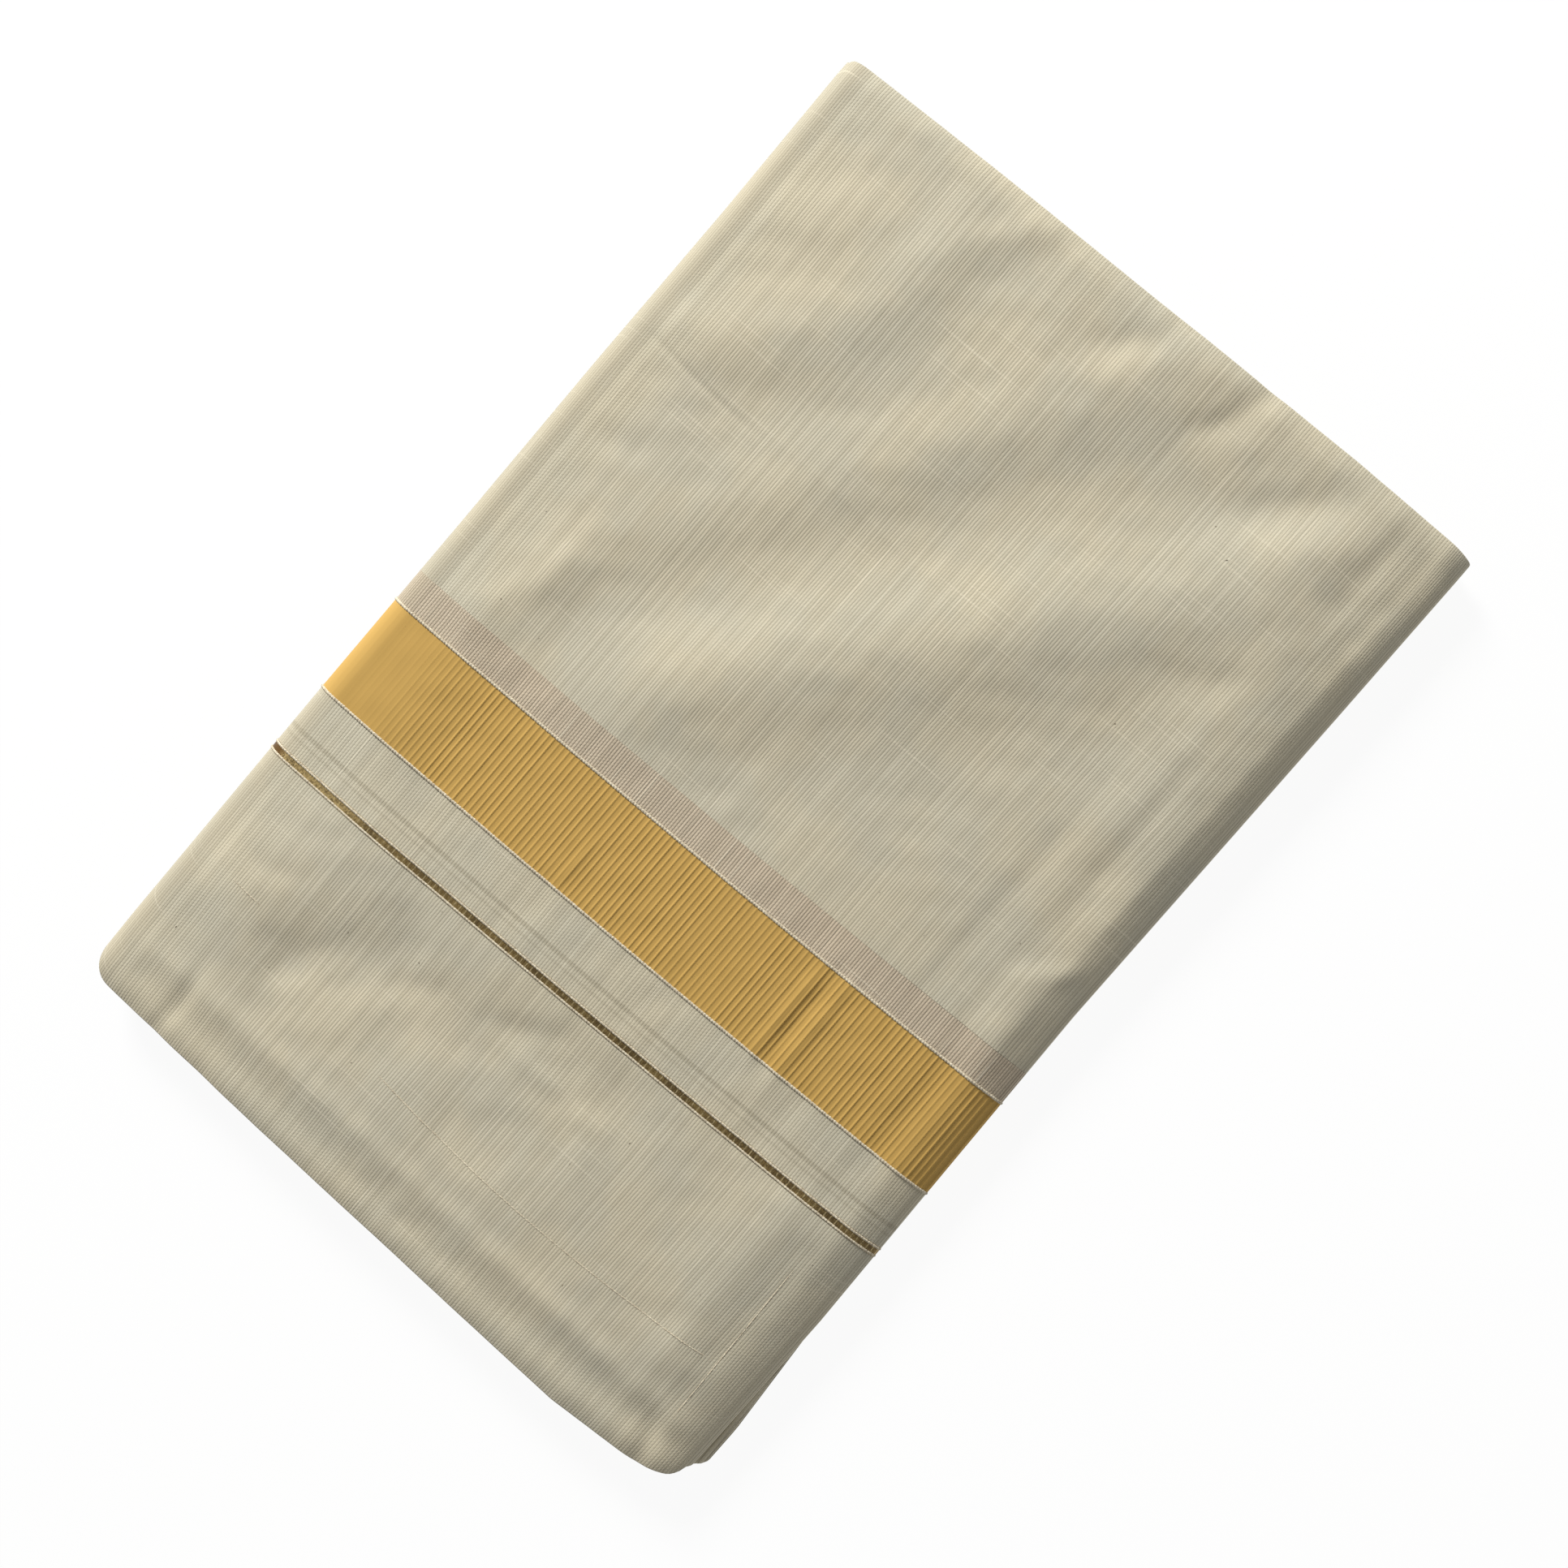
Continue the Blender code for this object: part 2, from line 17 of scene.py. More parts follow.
import bpy
import numpy as np
from mathutils import Euler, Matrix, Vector

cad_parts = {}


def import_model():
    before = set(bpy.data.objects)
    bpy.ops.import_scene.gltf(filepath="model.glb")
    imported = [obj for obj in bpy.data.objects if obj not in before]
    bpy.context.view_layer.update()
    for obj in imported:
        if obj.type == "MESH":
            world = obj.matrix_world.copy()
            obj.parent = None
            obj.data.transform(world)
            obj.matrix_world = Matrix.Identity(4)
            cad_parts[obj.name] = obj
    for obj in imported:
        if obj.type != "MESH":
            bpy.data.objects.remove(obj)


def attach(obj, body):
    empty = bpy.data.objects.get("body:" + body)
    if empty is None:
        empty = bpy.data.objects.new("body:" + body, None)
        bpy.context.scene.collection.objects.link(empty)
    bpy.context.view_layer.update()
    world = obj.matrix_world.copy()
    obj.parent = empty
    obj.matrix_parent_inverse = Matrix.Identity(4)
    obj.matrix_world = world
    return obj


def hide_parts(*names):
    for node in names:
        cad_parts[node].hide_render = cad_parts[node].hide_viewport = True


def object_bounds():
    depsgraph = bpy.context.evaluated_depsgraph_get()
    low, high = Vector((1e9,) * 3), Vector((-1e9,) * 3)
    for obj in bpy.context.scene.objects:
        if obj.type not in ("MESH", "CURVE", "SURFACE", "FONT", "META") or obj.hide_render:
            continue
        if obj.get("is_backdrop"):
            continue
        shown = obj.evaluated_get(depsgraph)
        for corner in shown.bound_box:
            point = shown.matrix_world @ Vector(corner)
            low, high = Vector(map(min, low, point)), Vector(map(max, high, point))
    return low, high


log = logging.getLogger("dhoti")

Grid = list[np.ndarray]
Line = Callable[[np.ndarray, np.ndarray], np.ndarray]
UV_NAME = "thread_run"
SHARP_ANGLE = math.radians(40)


def smooth(share: np.ndarray) -> np.ndarray:
    """Returns 0 to 1 with level ends."""
    share = np.clip(share, 0.0, 1.0)
    return share * share * (3 - 2 * share)


def mix(a: np.ndarray, b: np.ndarray, share: np.ndarray) -> np.ndarray:
    """Returns the value between a and b."""
    return a + (b - a) * share


@dataclass(frozen=True)
class Station:
    """The pack's long edges, and how far its right fold reaches in, at one place along it."""

    y: float
    left: float
    upper_right: float
    lower_right: float
    right_reach: float


@dataclass(frozen=True)
class EndLine:
    """The folded ends of the top strip at one place across the pack."""

    x: float
    near: float
    far: float


@dataclass(frozen=True)
class Corner:
    """The radius of the top strip's corner in plan, by the sides that meet there."""

    side: str
    end: str
    radius: float


@dataclass(frozen=True)
class Crease:
    """A soft ridge or trough of the top strip, along a bent line."""

    name: str
    start: tuple[float, float]
    end: tuple[float, float]
    bow: float
    width: float
    height: float

    def relief(self, x: np.ndarray, y: np.ndarray, end_fade: float) -> np.ndarray:
        """Height that the crease adds.

        Args:
            x: places across the pack.
            y: places along the pack.
            end_fade: share of the crease's length over which it dies away at each end.

        Returns:
            The added height at each place.
        """
        (x0, y0), (x1, y1) = self.start, self.end
        length = math.hypot(x1 - x0, y1 - y0)
        ux, uy = (x1 - x0) / length, (y1 - y0) / length
        along = ((x - x0) * ux + (y - y0) * uy) / length
        aside = (x - x0) * -uy + (y - y0) * ux - self.bow * (1 - (2 * along - 1) ** 2)
        from_end = np.minimum(along, 1 - along)
        ends = smooth((from_end + end_fade) / (2 * end_fade))
        return self.height * ends * np.exp(-((aside / self.width) ** 2))


STATIONS = (
    Station(y=-0.1943, left=-0.1283, upper_right=0.1237, lower_right=0.1273, right_reach=0.015),
    Station(y=-0.165, left=-0.1285, upper_right=0.1247, lower_right=0.1279, right_reach=0.015),
    Station(y=-0.12, left=-0.1282, upper_right=0.1257, lower_right=0.1255, right_reach=0.0145),
    Station(y=-0.072, left=-0.1279, upper_right=0.1253, lower_right=0.1241, right_reach=0.014),
    Station(y=0.005, left=-0.1269, upper_right=0.1248, lower_right=0.1236, right_reach=0.013),
    Station(y=0.067, left=-0.1264, upper_right=0.1261, lower_right=0.1247, right_reach=0.011),
    Station(y=0.13, left=-0.1253, upper_right=0.1274, lower_right=0.1258, right_reach=0.01),
    Station(y=0.1943, left=-0.1251, upper_right=0.1285, lower_right=0.1267, right_reach=0.009),
)

END_LINES = (
    EndLine(x=-0.1285, near=-0.1878, far=0.1938),
    EndLine(x=-0.0633, near=-0.1904, far=0.1943),
    EndLine(x=0.0, near=-0.1921, far=0.194),
    EndLine(x=0.0775, near=-0.1943, far=0.194),
    EndLine(x=0.1089, near=-0.1922, far=0.1932),
    EndLine(x=0.1285, near=-0.189, far=0.1926),
)

CORNERS = (
    Corner(side="left", end="near", radius=0.01),
    Corner(side="left", end="far", radius=0.0018),
    Corner(side="right", end="near", radius=0.0035),
    Corner(side="right", end="far", radius=0.003),
)

# The large folds, which the solids have too
MAIN_FOLDS = (
    Crease("long_ridge", (0.105, 0.166), (-0.055, -0.014), bow=-0.001, width=0.02, height=0.0026),
    Crease("long_trough", (0.069, 0.172), (-0.071, 0.001), bow=-0.01, width=0.0256, height=-0.0017),
    Crease("second_ridge", (0.028, 0.193), (-0.094, 0.014), bow=0.005, width=0.0134, height=0.001),
    Crease("far_left_trough", (-0.033, 0.17), (-0.091, 0.072), bow=0.012, width=0.015, height=-0.0005),
    Crease("far_left_ridge", (-0.059, 0.173), (-0.113, 0.09), bow=0.014, width=0.0137, height=0.0013),
    Crease("lower_trough", (0.085, 0.084), (-0.026, -0.02), bow=0.007, width=0.0209, height=-0.0008),
    Crease("far_right", (0.123, 0.186), (0.107, 0.15), bow=0.002, width=0.0133, height=-0.0016),
    Crease("right_ridge", (0.103, 0.135), (0.098, 0.052), bow=0.002, width=0.0139, height=0.0014),
    Crease("near_left_ridge", (-0.075, -0.088), (-0.108, -0.146), bow=-0.002, width=0.0216, height=0.0016),
    Crease("near_left_trough", (-0.047, -0.113), (-0.084, -0.148), bow=0.003, width=0.0123, height=-0.0016),
    Crease("near_middle", (0.042, -0.107), (-0.043, -0.133), bow=-0.003, width=0.0147, height=-0.0015),
    Crease("near_end", (-0.108, -0.179), (0.118, -0.181), bow=-0.002, width=0.0058, height=-0.0009),
    Crease("near_right", (0.106, -0.09), (0.109, -0.175), bow=0.0, width=0.0065, height=-0.0004),
    Crease("near_right_swell", (0.099, -0.094), (0.096, -0.164), bow=-0.004, width=0.0159, height=0.0019),
    Crease("near_middle_swell", (0.029, -0.128), (-0.008, -0.152), bow=0.0, width=0.0129, height=-0.0009),
    Crease("left_swell", (-0.088, 0.017), (-0.106, -0.024), bow=0.0, width=0.0108, height=0.0013),
)

# The small creases, which only the cloth has
FINE_CREASES = (
    Crease("far_notch", (0.0475, 0.196), (0.035, 0.167), bow=0.0015, width=0.0045, height=-0.00085),
    Crease("far_notch_lip", (0.054, 0.1955), (0.0465, 0.1645), bow=0.003, width=0.0047, height=0.00033),
    Crease("far_fold", (0.088, 0.1845), (0.059, 0.155), bow=0.001, width=0.0078, height=-0.00134),
    Crease("far_fold_lip", (0.0975, 0.181), (0.072, 0.1485), bow=0.004, width=0.007, height=0.00044),
    Crease("far_corner_dip", (0.1075, 0.1845), (0.101, 0.1495), bow=-0.0005, width=0.005, height=-0.00052),
    Crease("far_corner_lip", (0.1135, 0.176), (0.1065, 0.139), bow=0.0015, width=0.0045, height=0.00039),
    Crease("far_dent", (0.012, 0.19), (-0.01, 0.167), bow=0.0015, width=0.0052, height=-0.0006),
    Crease("far_dent_lip", (0.0175, 0.185), (-0.0015, 0.159), bow=0.0025, width=0.0056, height=0.00031),
    Crease("top_wave", (-0.039, 0.191), (-0.0575, 0.1685), bow=0.0, width=0.0052, height=0.00051),
    Crease("top_wave_dip", (-0.03, 0.1905), (-0.0475, 0.1595), bow=0.001, width=0.0052, height=-0.00037),
    Crease("top_left_swell", (-0.0785, 0.1635), (-0.111, 0.141), bow=0.0005, width=0.0089, height=0.00081),
    Crease("top_left_dip", (-0.0655, 0.1565), (-0.105, 0.1375), bow=0.002, width=0.0073, height=0.00034),
    Crease("left_rim", (-0.1225, 0.1815), (-0.1265, 0.09), bow=-0.0005, width=0.0074, height=-0.00076),
    Crease("left_rim_low", (-0.1225, 0.08), (-0.122, 0.0), bow=-0.0005, width=0.006, height=-0.0005),
    Crease("cross_crease", (-0.117, 0.0855), (-0.076, 0.082), bow=-0.0005, width=0.0014, height=-0.00028),
    Crease("cross_crease_on", (-0.08, 0.0845), (0.04, 0.0785), bow=0.0015, width=0.0013, height=0.00007),
    Crease("far_left_swell", (-0.05, 0.12), (-0.076, 0.096), bow=0.001, width=0.0071, height=0.00013),
    Crease("far_left_dip", (-0.044, 0.1115), (-0.08, 0.091), bow=0.001, width=0.0072, height=-0.00033),
    Crease("second_dip", (-0.021, 0.147), (-0.0405, 0.1185), bow=0.0035, width=0.0061, height=-0.00022),
    Crease("left_dip", (-0.092, 0.056), (-0.1085, 0.0505), bow=0.001, width=0.0052, height=-0.00055),
    Crease("left_lift", (-0.092, 0.049), (-0.11, 0.0435), bow=0.001, width=0.0051, height=0.00021),
    Crease("left_low_dip", (-0.0945, 0.0295), (-0.103, -0.0065), bow=0.002, width=0.0049, height=-0.0003),
    Crease("left_low_ridge", (-0.088, 0.024), (-0.098, -0.01), bow=0.001, width=0.005, height=0.00014),
    Crease("middle_left_lift", (-0.03, 0.0445), (-0.064, 0.0155), bow=0.002, width=0.007, height=-0.00025),
    Crease("centre_bend", (-0.019, 0.0415), (-0.033, -0.0185), bow=0.0025, width=0.0044, height=-0.00015),
    Crease("centre_bend_lip", (-0.014, 0.03), (-0.027, -0.018), bow=0.001, width=0.0051, height=-0.00015),
    Crease("centre_swell", (0.005, 0.0095), (-0.005, -0.0245), bow=0.002, width=0.006, height=0.00026),
    Crease("middle_swell", (0.0715, 0.049), (0.0455, 0.038), bow=0.001, width=0.0073, height=0.0003),
    Crease("middle_dip", (0.058, 0.0355), (0.04, 0.0255), bow=0.0015, width=0.006, height=-0.00014),
    Crease("right_line", (0.085, 0.064), (0.083, -0.02), bow=0.0005, width=0.0038, height=-0.00044),
    Crease("right_groove", (0.102, 0.092), (0.103, 0.023), bow=0.0, width=0.0054, height=-0.00061),
    Crease("right_shelf", (0.1115, 0.072), (0.112, 0.024), bow=0.002, width=0.0049, height=0.00034),
    Crease("right_tuck_lip", (0.118, 0.0175), (0.101, 0.0), bow=0.0005, width=0.0039, height=0.00089),
    Crease("right_tuck", (0.1135, 0.011), (0.1005, -0.0015), bow=0.0, width=0.0033, height=-0.00034),
    Crease("right_low_shelf", (0.1095, 0.0065), (0.11, -0.026), bow=-0.0005, width=0.007, height=0.00114),
    Crease("right_mid_dip", (0.099, 0.1185), (0.071, 0.1035), bow=0.002, width=0.0053, height=-0.0005),
    Crease("right_mid_lift", (0.0965, 0.112), (0.076, 0.0975), bow=0.0015, width=0.005, height=-0.00011),
    Crease("near_left_high", (-0.089, -0.101), (-0.104, -0.1085), bow=0.0015, width=0.004, height=-0.00026),
    Crease("near_left_wave", (-0.09, -0.1185), (-0.1075, -0.125), bow=0.001, width=0.0036, height=-0.00045),
    Crease("near_left_line", (-0.0595, -0.1245), (-0.0735, -0.151), bow=0.0015, width=0.0035, height=0.00029),
    Crease("near_left_gap", (-0.0665, -0.12), (-0.08, -0.146), bow=0.001, width=0.0033, height=-0.00022),
    Crease("near_bow", (-0.029, -0.1165), (-0.0485, -0.1275), bow=-0.0005, width=0.0041, height=-0.00041),
    Crease("near_bow_lip", (-0.0265, -0.123), (-0.044, -0.134), bow=0.0005, width=0.0045, height=0.00015),
    Crease("near_top_bow", (0.008, -0.104), (-0.0145, -0.115), bow=0.0005, width=0.0041, height=-0.00048),
    Crease("near_dent", (0.016, -0.1185), (-0.005, -0.119), bow=-0.0005, width=0.0035, height=0.00053),
    Crease("near_dent_on", (0.038, -0.119), (0.023, -0.12), bow=0.0, width=0.004, height=0.00041),
    Crease("near_mid_lift", (-0.0345, -0.1465), (-0.0495, -0.152), bow=-0.0005, width=0.006, height=-0.00032),
    Crease("near_mid_dip", (0.031, -0.1565), (-0.031, -0.1595), bow=0.0015, width=0.0084, height=0.00044),
    Crease("near_broad_dip", (0.092, -0.147), (0.0745, -0.1575), bow=0.0015, width=0.0089, height=-0.00075),
    Crease("near_right_lift", (0.112, -0.132), (0.106, -0.152), bow=0.0005, width=0.0045, height=-0.00009),
    Crease("near_pinch", (-0.0975, -0.1635), (-0.098, -0.19), bow=0.0015, width=0.0033, height=-0.00072),
    Crease("near_roll", (-0.118, -0.1685), (0.11, -0.1725), bow=0.0005, width=0.0042, height=0.00076),
    Crease("near_right_step", (0.034, -0.1725), (0.1, -0.1745), bow=0.002, width=0.0041, height=0.00019),
    Crease("corner_pinch", (0.101, -0.1735), (0.11, -0.1935), bow=0.0025, width=0.0038, height=-0.00103),
    Crease("band_left_swell", (-0.0985, -0.024), (-0.0995, -0.076), bow=0.0, width=0.013, height=0.0009),
    Crease("band_streak", (-0.0262, -0.052), (-0.0268, -0.069), bow=0.0, width=0.0018, height=0.00032),
    Crease("band_fold", (0.0545, -0.034), (0.0545, -0.069), bow=0.0, width=0.002, height=0.00046),
    Crease("band_fold_dip", (0.0595, -0.034), (0.0593, -0.069), bow=0.0, width=0.0022, height=-0.00044),
    Crease("band_fold_on", (0.065, -0.034), (0.0648, -0.069), bow=0.0, width=0.0022, height=0.00046),
    Crease("band_right_dip", (0.104, -0.028), (0.1045, -0.076), bow=0.0, width=0.0045, height=-0.0006),
    Crease("gap_wave", (-0.0265, -0.068), (-0.033, -0.088), bow=0.0, width=0.005, height=-0.00035),
    Crease("gap_wave_on", (0.023, -0.068), (0.017, -0.088), bow=0.0, width=0.005, height=-0.00035),
    Crease("gap_wave_right", (0.076, -0.068), (0.0705, -0.09), bow=0.001, width=0.005, height=-0.0004),
)


class Zone(Enum):
    """Stretches of the path round the outermost strip, in order from its start."""

    LEG = 0
    RIGHT_LOWER = 1
    RIGHT_UPPER = 2
    TOP = 3
    LEFT_UPPER = 4
    LEFT_LOWER = 5
    UNDERSIDE = 6


@dataclass(frozen=True)
class PackForm:
    """The shape of the folded pack: its outermost strip, its ends, and the levels inside it."""

    width: float = 0.25
    height: float = 0.01584
    wall: float = 0.001
    gap: float = 0.0003
    side_clearance: float = 0.0009
    crown_drop: float = 0.0013
    crown_curve: float = 2.2
    end_drop: float = 0.0018
    end_run: float = 0.009
    end_curve: float = 2.2
    left_fold_up: float = 0.009
    left_fold_low: float = 0.007
    right_fold_low: float = 0.005
    leg_reach: float = 0.012
    right_slope_curve: float = 1.5
    right_widest: float = 0.28
    right_widest_inside: float = 0.745
    split_low: float = 0.52
    split_high: float = 0.685
    fold_allowance: float = 0.0018
    under_near_left: float = -0.1870
    under_near_right: float = -0.1780
    under_far: float = 0.1915
    fold_fade: float = 0.012
    left_still: float = 0.004
    fold_end_fade: float = 0.12
    crease_end_fade: float = 0.35
    wave_count: int = 16
    wave_height: float = 0.000016
    wave_lengths: tuple[float, float] = (0.007, 0.024)
    wave_seed: int = 11
    path_step: float = 0.004

    @property
    def zones(self) -> int:
        """Number of zones along the path."""
        return len(Zone)

    def edge_at(self, name: str, y: np.ndarray) -> np.ndarray:
        """Returns X of one long edge at Y."""
        return np.interp(y, [s.y for s in STATIONS], [getattr(s, name) for s in STATIONS])

    def fold_line_at(self, end: str, x: np.ndarray, level: np.ndarray) -> np.ndarray:
        """Finds a folded end before its corners are rounded.

        Args:
            end: near or far.
            x: places across the pack.
            level: 0 on the underside and 1 on the top.

        Returns:
            Y of the folded end.
        """
        top = np.interp(x, [e.x for e in END_LINES], [getattr(e, end) for e in END_LINES])
        across = np.clip(x / self.width + 0.5, 0.0, 1.0)
        under = self.under_far
        if end == "near":
            under = mix(self.under_near_left, self.under_near_right, across)
        return mix(under, top, smooth(level))

    def corner_cut(self, side: str, end: str, x: np.ndarray, y: np.ndarray) -> np.ndarray:
        """Returns how far the folded end draws back at X, because the corner is round."""
        radius = next(c.radius for c in CORNERS if c.side == side and c.end == end)
        edge = self.edge_at("left" if side == "left" else "upper_right", y)
        inside = np.abs(x - edge) if side == "left" else np.maximum(edge - x, 0.0)
        reach = np.clip(1 - inside / radius, 0.0, 1.0)
        return radius * (1 - np.sqrt(1 - reach**2))

    def end_at(self, end: str, x: np.ndarray, level: np.ndarray) -> np.ndarray:
        """Returns Y of the strip's folded end at X."""
        y = self.fold_line_at(end, x, level)
        cut = self.corner_cut("left", end, x, y) + self.corner_cut("right", end, x, y)
        return y + cut if end == "near" else y - cut

    def top_height(self, x: np.ndarray, y: np.ndarray) -> np.ndarray:
        """Returns the height of the pack with no folds in it."""
        across = np.clip(np.abs(x) / (self.width / 2), 0.0, 1.0)
        past_far = y - (self.end_at("far", x, 1.0) - self.end_run)
        past_near = self.end_at("near", x, 1.0) + self.end_run - y
        past = np.clip(np.maximum(past_far, past_near) / self.end_run, 0.0, 1.0)
        crown = self.crown_drop * across**self.crown_curve
        return self.height - crown - self.end_drop * past**self.end_curve

    def inside_level(self, share: float, x: np.ndarray, y: np.ndarray) -> np.ndarray:
        """Returns Z at a share of the height inside the outermost strip."""
        low = self.wall + self.gap
        return low + share * (self.top_height(x, y) - 2 * low - self.fold_allowance)

    def waves(self, x: np.ndarray, y: np.ndarray) -> np.ndarray:
        """Returns the cloth's slight unevenness, from waves in many directions."""
        draw = random.Random(self.wave_seed)
        total = np.zeros(np.shape(x))
        for _ in range(self.wave_count):
            turn, phase = draw.uniform(0, math.pi), draw.uniform(0, 2 * math.pi)
            pace = 2 * math.pi / draw.uniform(*self.wave_lengths)
            total = total + np.sin(pace * (x * math.cos(turn) + y * math.sin(turn)) + phase)
        return total * self.wave_height

    def relief(self, x: np.ndarray, y: np.ndarray) -> np.ndarray:
        """Returns the height that folds, creases and unevenness add to the top strip."""
        main = sum(fold.relief(x, y, self.fold_end_fade) for fold in MAIN_FOLDS)
        fine = sum(crease.relief(x, y, self.crease_end_fade) for crease in FINE_CREASES)
        return main + fine + self.waves(x, y)

    def still(self, x: np.ndarray, y: np.ndarray) -> np.ndarray:
        """Returns how freely the folds may rise: 0 by the long edges, and 1 within."""
        from_left = x - self.edge_at("left", y) - self.left_still
        from_right = self.edge_at("upper_right", y) - x
        return smooth(from_left / self.fold_fade) * smooth(from_right / self.fold_fade)

    def path(self, u: np.ndarray, y: np.ndarray) -> tuple[np.ndarray, np.ndarray]:
        """Follows the outermost strip's outer face.

        Args:
            u: place along the path; its whole part is the zone.
            y: place along the pack.

        Returns:
            X and Z of the face.
        """
        zone = np.minimum(np.floor(u), self.zones - 1).astype(int)
        t = u - zone
        turn = t * math.pi / 2
        left, right, lower = (self.edge_at(name, y) for name in ("left", "upper_right", "lower_right"))
        reach = self.edge_at("right_reach", y)
        leg_x = right - self.right_fold_low
        leg = self.inside_level(self.split_low, leg_x, y) + self.gap
        shoulder = self.top_height(right - reach, y)
        widest = mix(leg, shoulder, self.right_widest)
        left_top = self.top_height(left + self.left_fold_up, y)
        top_x = mix(right - reach, left + self.left_fold_up, t)
        slope = 2 / self.right_slope_curve
        zones = [zone == each.value for each in Zone]
        x = np.select(
            zones,
            [
                mix(right - self.leg_reach, leg_x, t),
                leg_x + self.right_fold_low * np.sin(turn),
                right - reach * (1 - np.cos(turn) ** slope),
                top_x,
                left + self.left_fold_up * (1 - np.sin(turn)),
                left + self.left_fold_low * (1 - np.cos(turn)),
                mix(left + self.left_fold_low, lower - self.wall, t),
            ],
        )
        z = np.select(
            zones,
            [
                leg,
                widest - (widest - leg) * np.cos(turn),
                widest + (shoulder - widest) * np.sin(turn) ** slope,
                self.top_height(top_x, y),
                left_top / 2 * (1 + np.cos(turn)),
                left_top / 2 * (1 - np.sin(turn)),
                np.zeros(np.shape(t)),
            ],
        )
        on_top = (zone >= Zone.RIGHT_UPPER.value) & (zone <= Zone.LEFT_UPPER.value)
        return x, z + on_top * self.still(x, y) * self.relief(x, y)

    def place_on_top(self, x: np.ndarray, y: np.ndarray) -> np.ndarray:
        """Returns the place along the path of a point that is seen from above."""
        left, right = (self.edge_at(name, y) for name in ("left", "upper_right"))
        reach = self.edge_at("right_reach", y)
        top_right, top_left = right - reach, left + self.left_fold_up
        on_top = Zone.TOP.value + np.clip((top_right - x) / (top_right - top_left), 0.0, 0.9999)
        risen = np.clip(1 - (right - x) / reach, 0.0, 1.0) ** (self.right_slope_curve / 2)
        on_slope = Zone.RIGHT_UPPER.value + np.arccos(risen) * 2 / math.pi
        return np.where(x > top_right, on_slope, on_top)

    def points(self, u: np.ndarray, y: np.ndarray, out: np.ndarray) -> np.ndarray:
        """Returns points of the outermost strip, moved out from its outer face by a distance."""
        x, z = self.path(u, y)
        x_on, z_on = self.path(np.minimum(u + self.path_step, self.zones), y)
        x_back, z_back = self.path(np.maximum(u - self.path_step, 0.0), y)
        along_x, along_z = x_on - x_back, z_on - z_back
        length = np.hypot(along_x, along_z)
        return np.stack([x + out * along_z / length, y, z - out * along_x / length], axis=-1)

    def run(self, u: np.ndarray, y: float) -> np.ndarray:
        """Returns the length of cloth from the middle of the top to each place on the path."""
        fine = np.linspace(0, self.zones, 4001)
        x, z = self.path(fine, np.full(fine.shape, y))
        length = np.concatenate([[0.0], np.cumsum(np.hypot(np.diff(x), np.diff(z)))])
        middle = np.interp(Zone.TOP.value + 0.5, fine, length)
        return np.interp(u, fine, length) - middle

    def girth(self, y: float) -> float:
        """Returns the length of the strip along its path."""
        first, last = self.run(np.array([0.0, float(self.zones)]), y)
        return float(last - first)


FORM = PackForm()


@dataclass(frozen=True)
class Stripes:
    """Y of the edges of the woven stripes, and their slight bow."""

    open_weave_far: float = -0.0203
    band_far: float = -0.0325
    band_near: float = -0.0695
    line_far: float = -0.0920
    line_near: float = -0.0957
    bow: float = 0.0020
    bow_centre: float = -0.045
    bow_reach: float = 0.170

    def drift(self, x: np.ndarray) -> np.ndarray:
        """Returns how far the stripes drift towards the far end at X."""
        return self.bow * ((x - self.bow_centre) / self.bow_reach) ** 2

    def line(self, y: float) -> Line:
        """Returns a function that gives Y of a woven edge at X on any level."""
        return lambda x, level: y + self.drift(x)


STRIPES = Stripes()


def end_line(end: str) -> Line:
    """Returns a function that gives Y of a folded end at X on any level."""
    return lambda x, level: FORM.end_at(end, x, level)


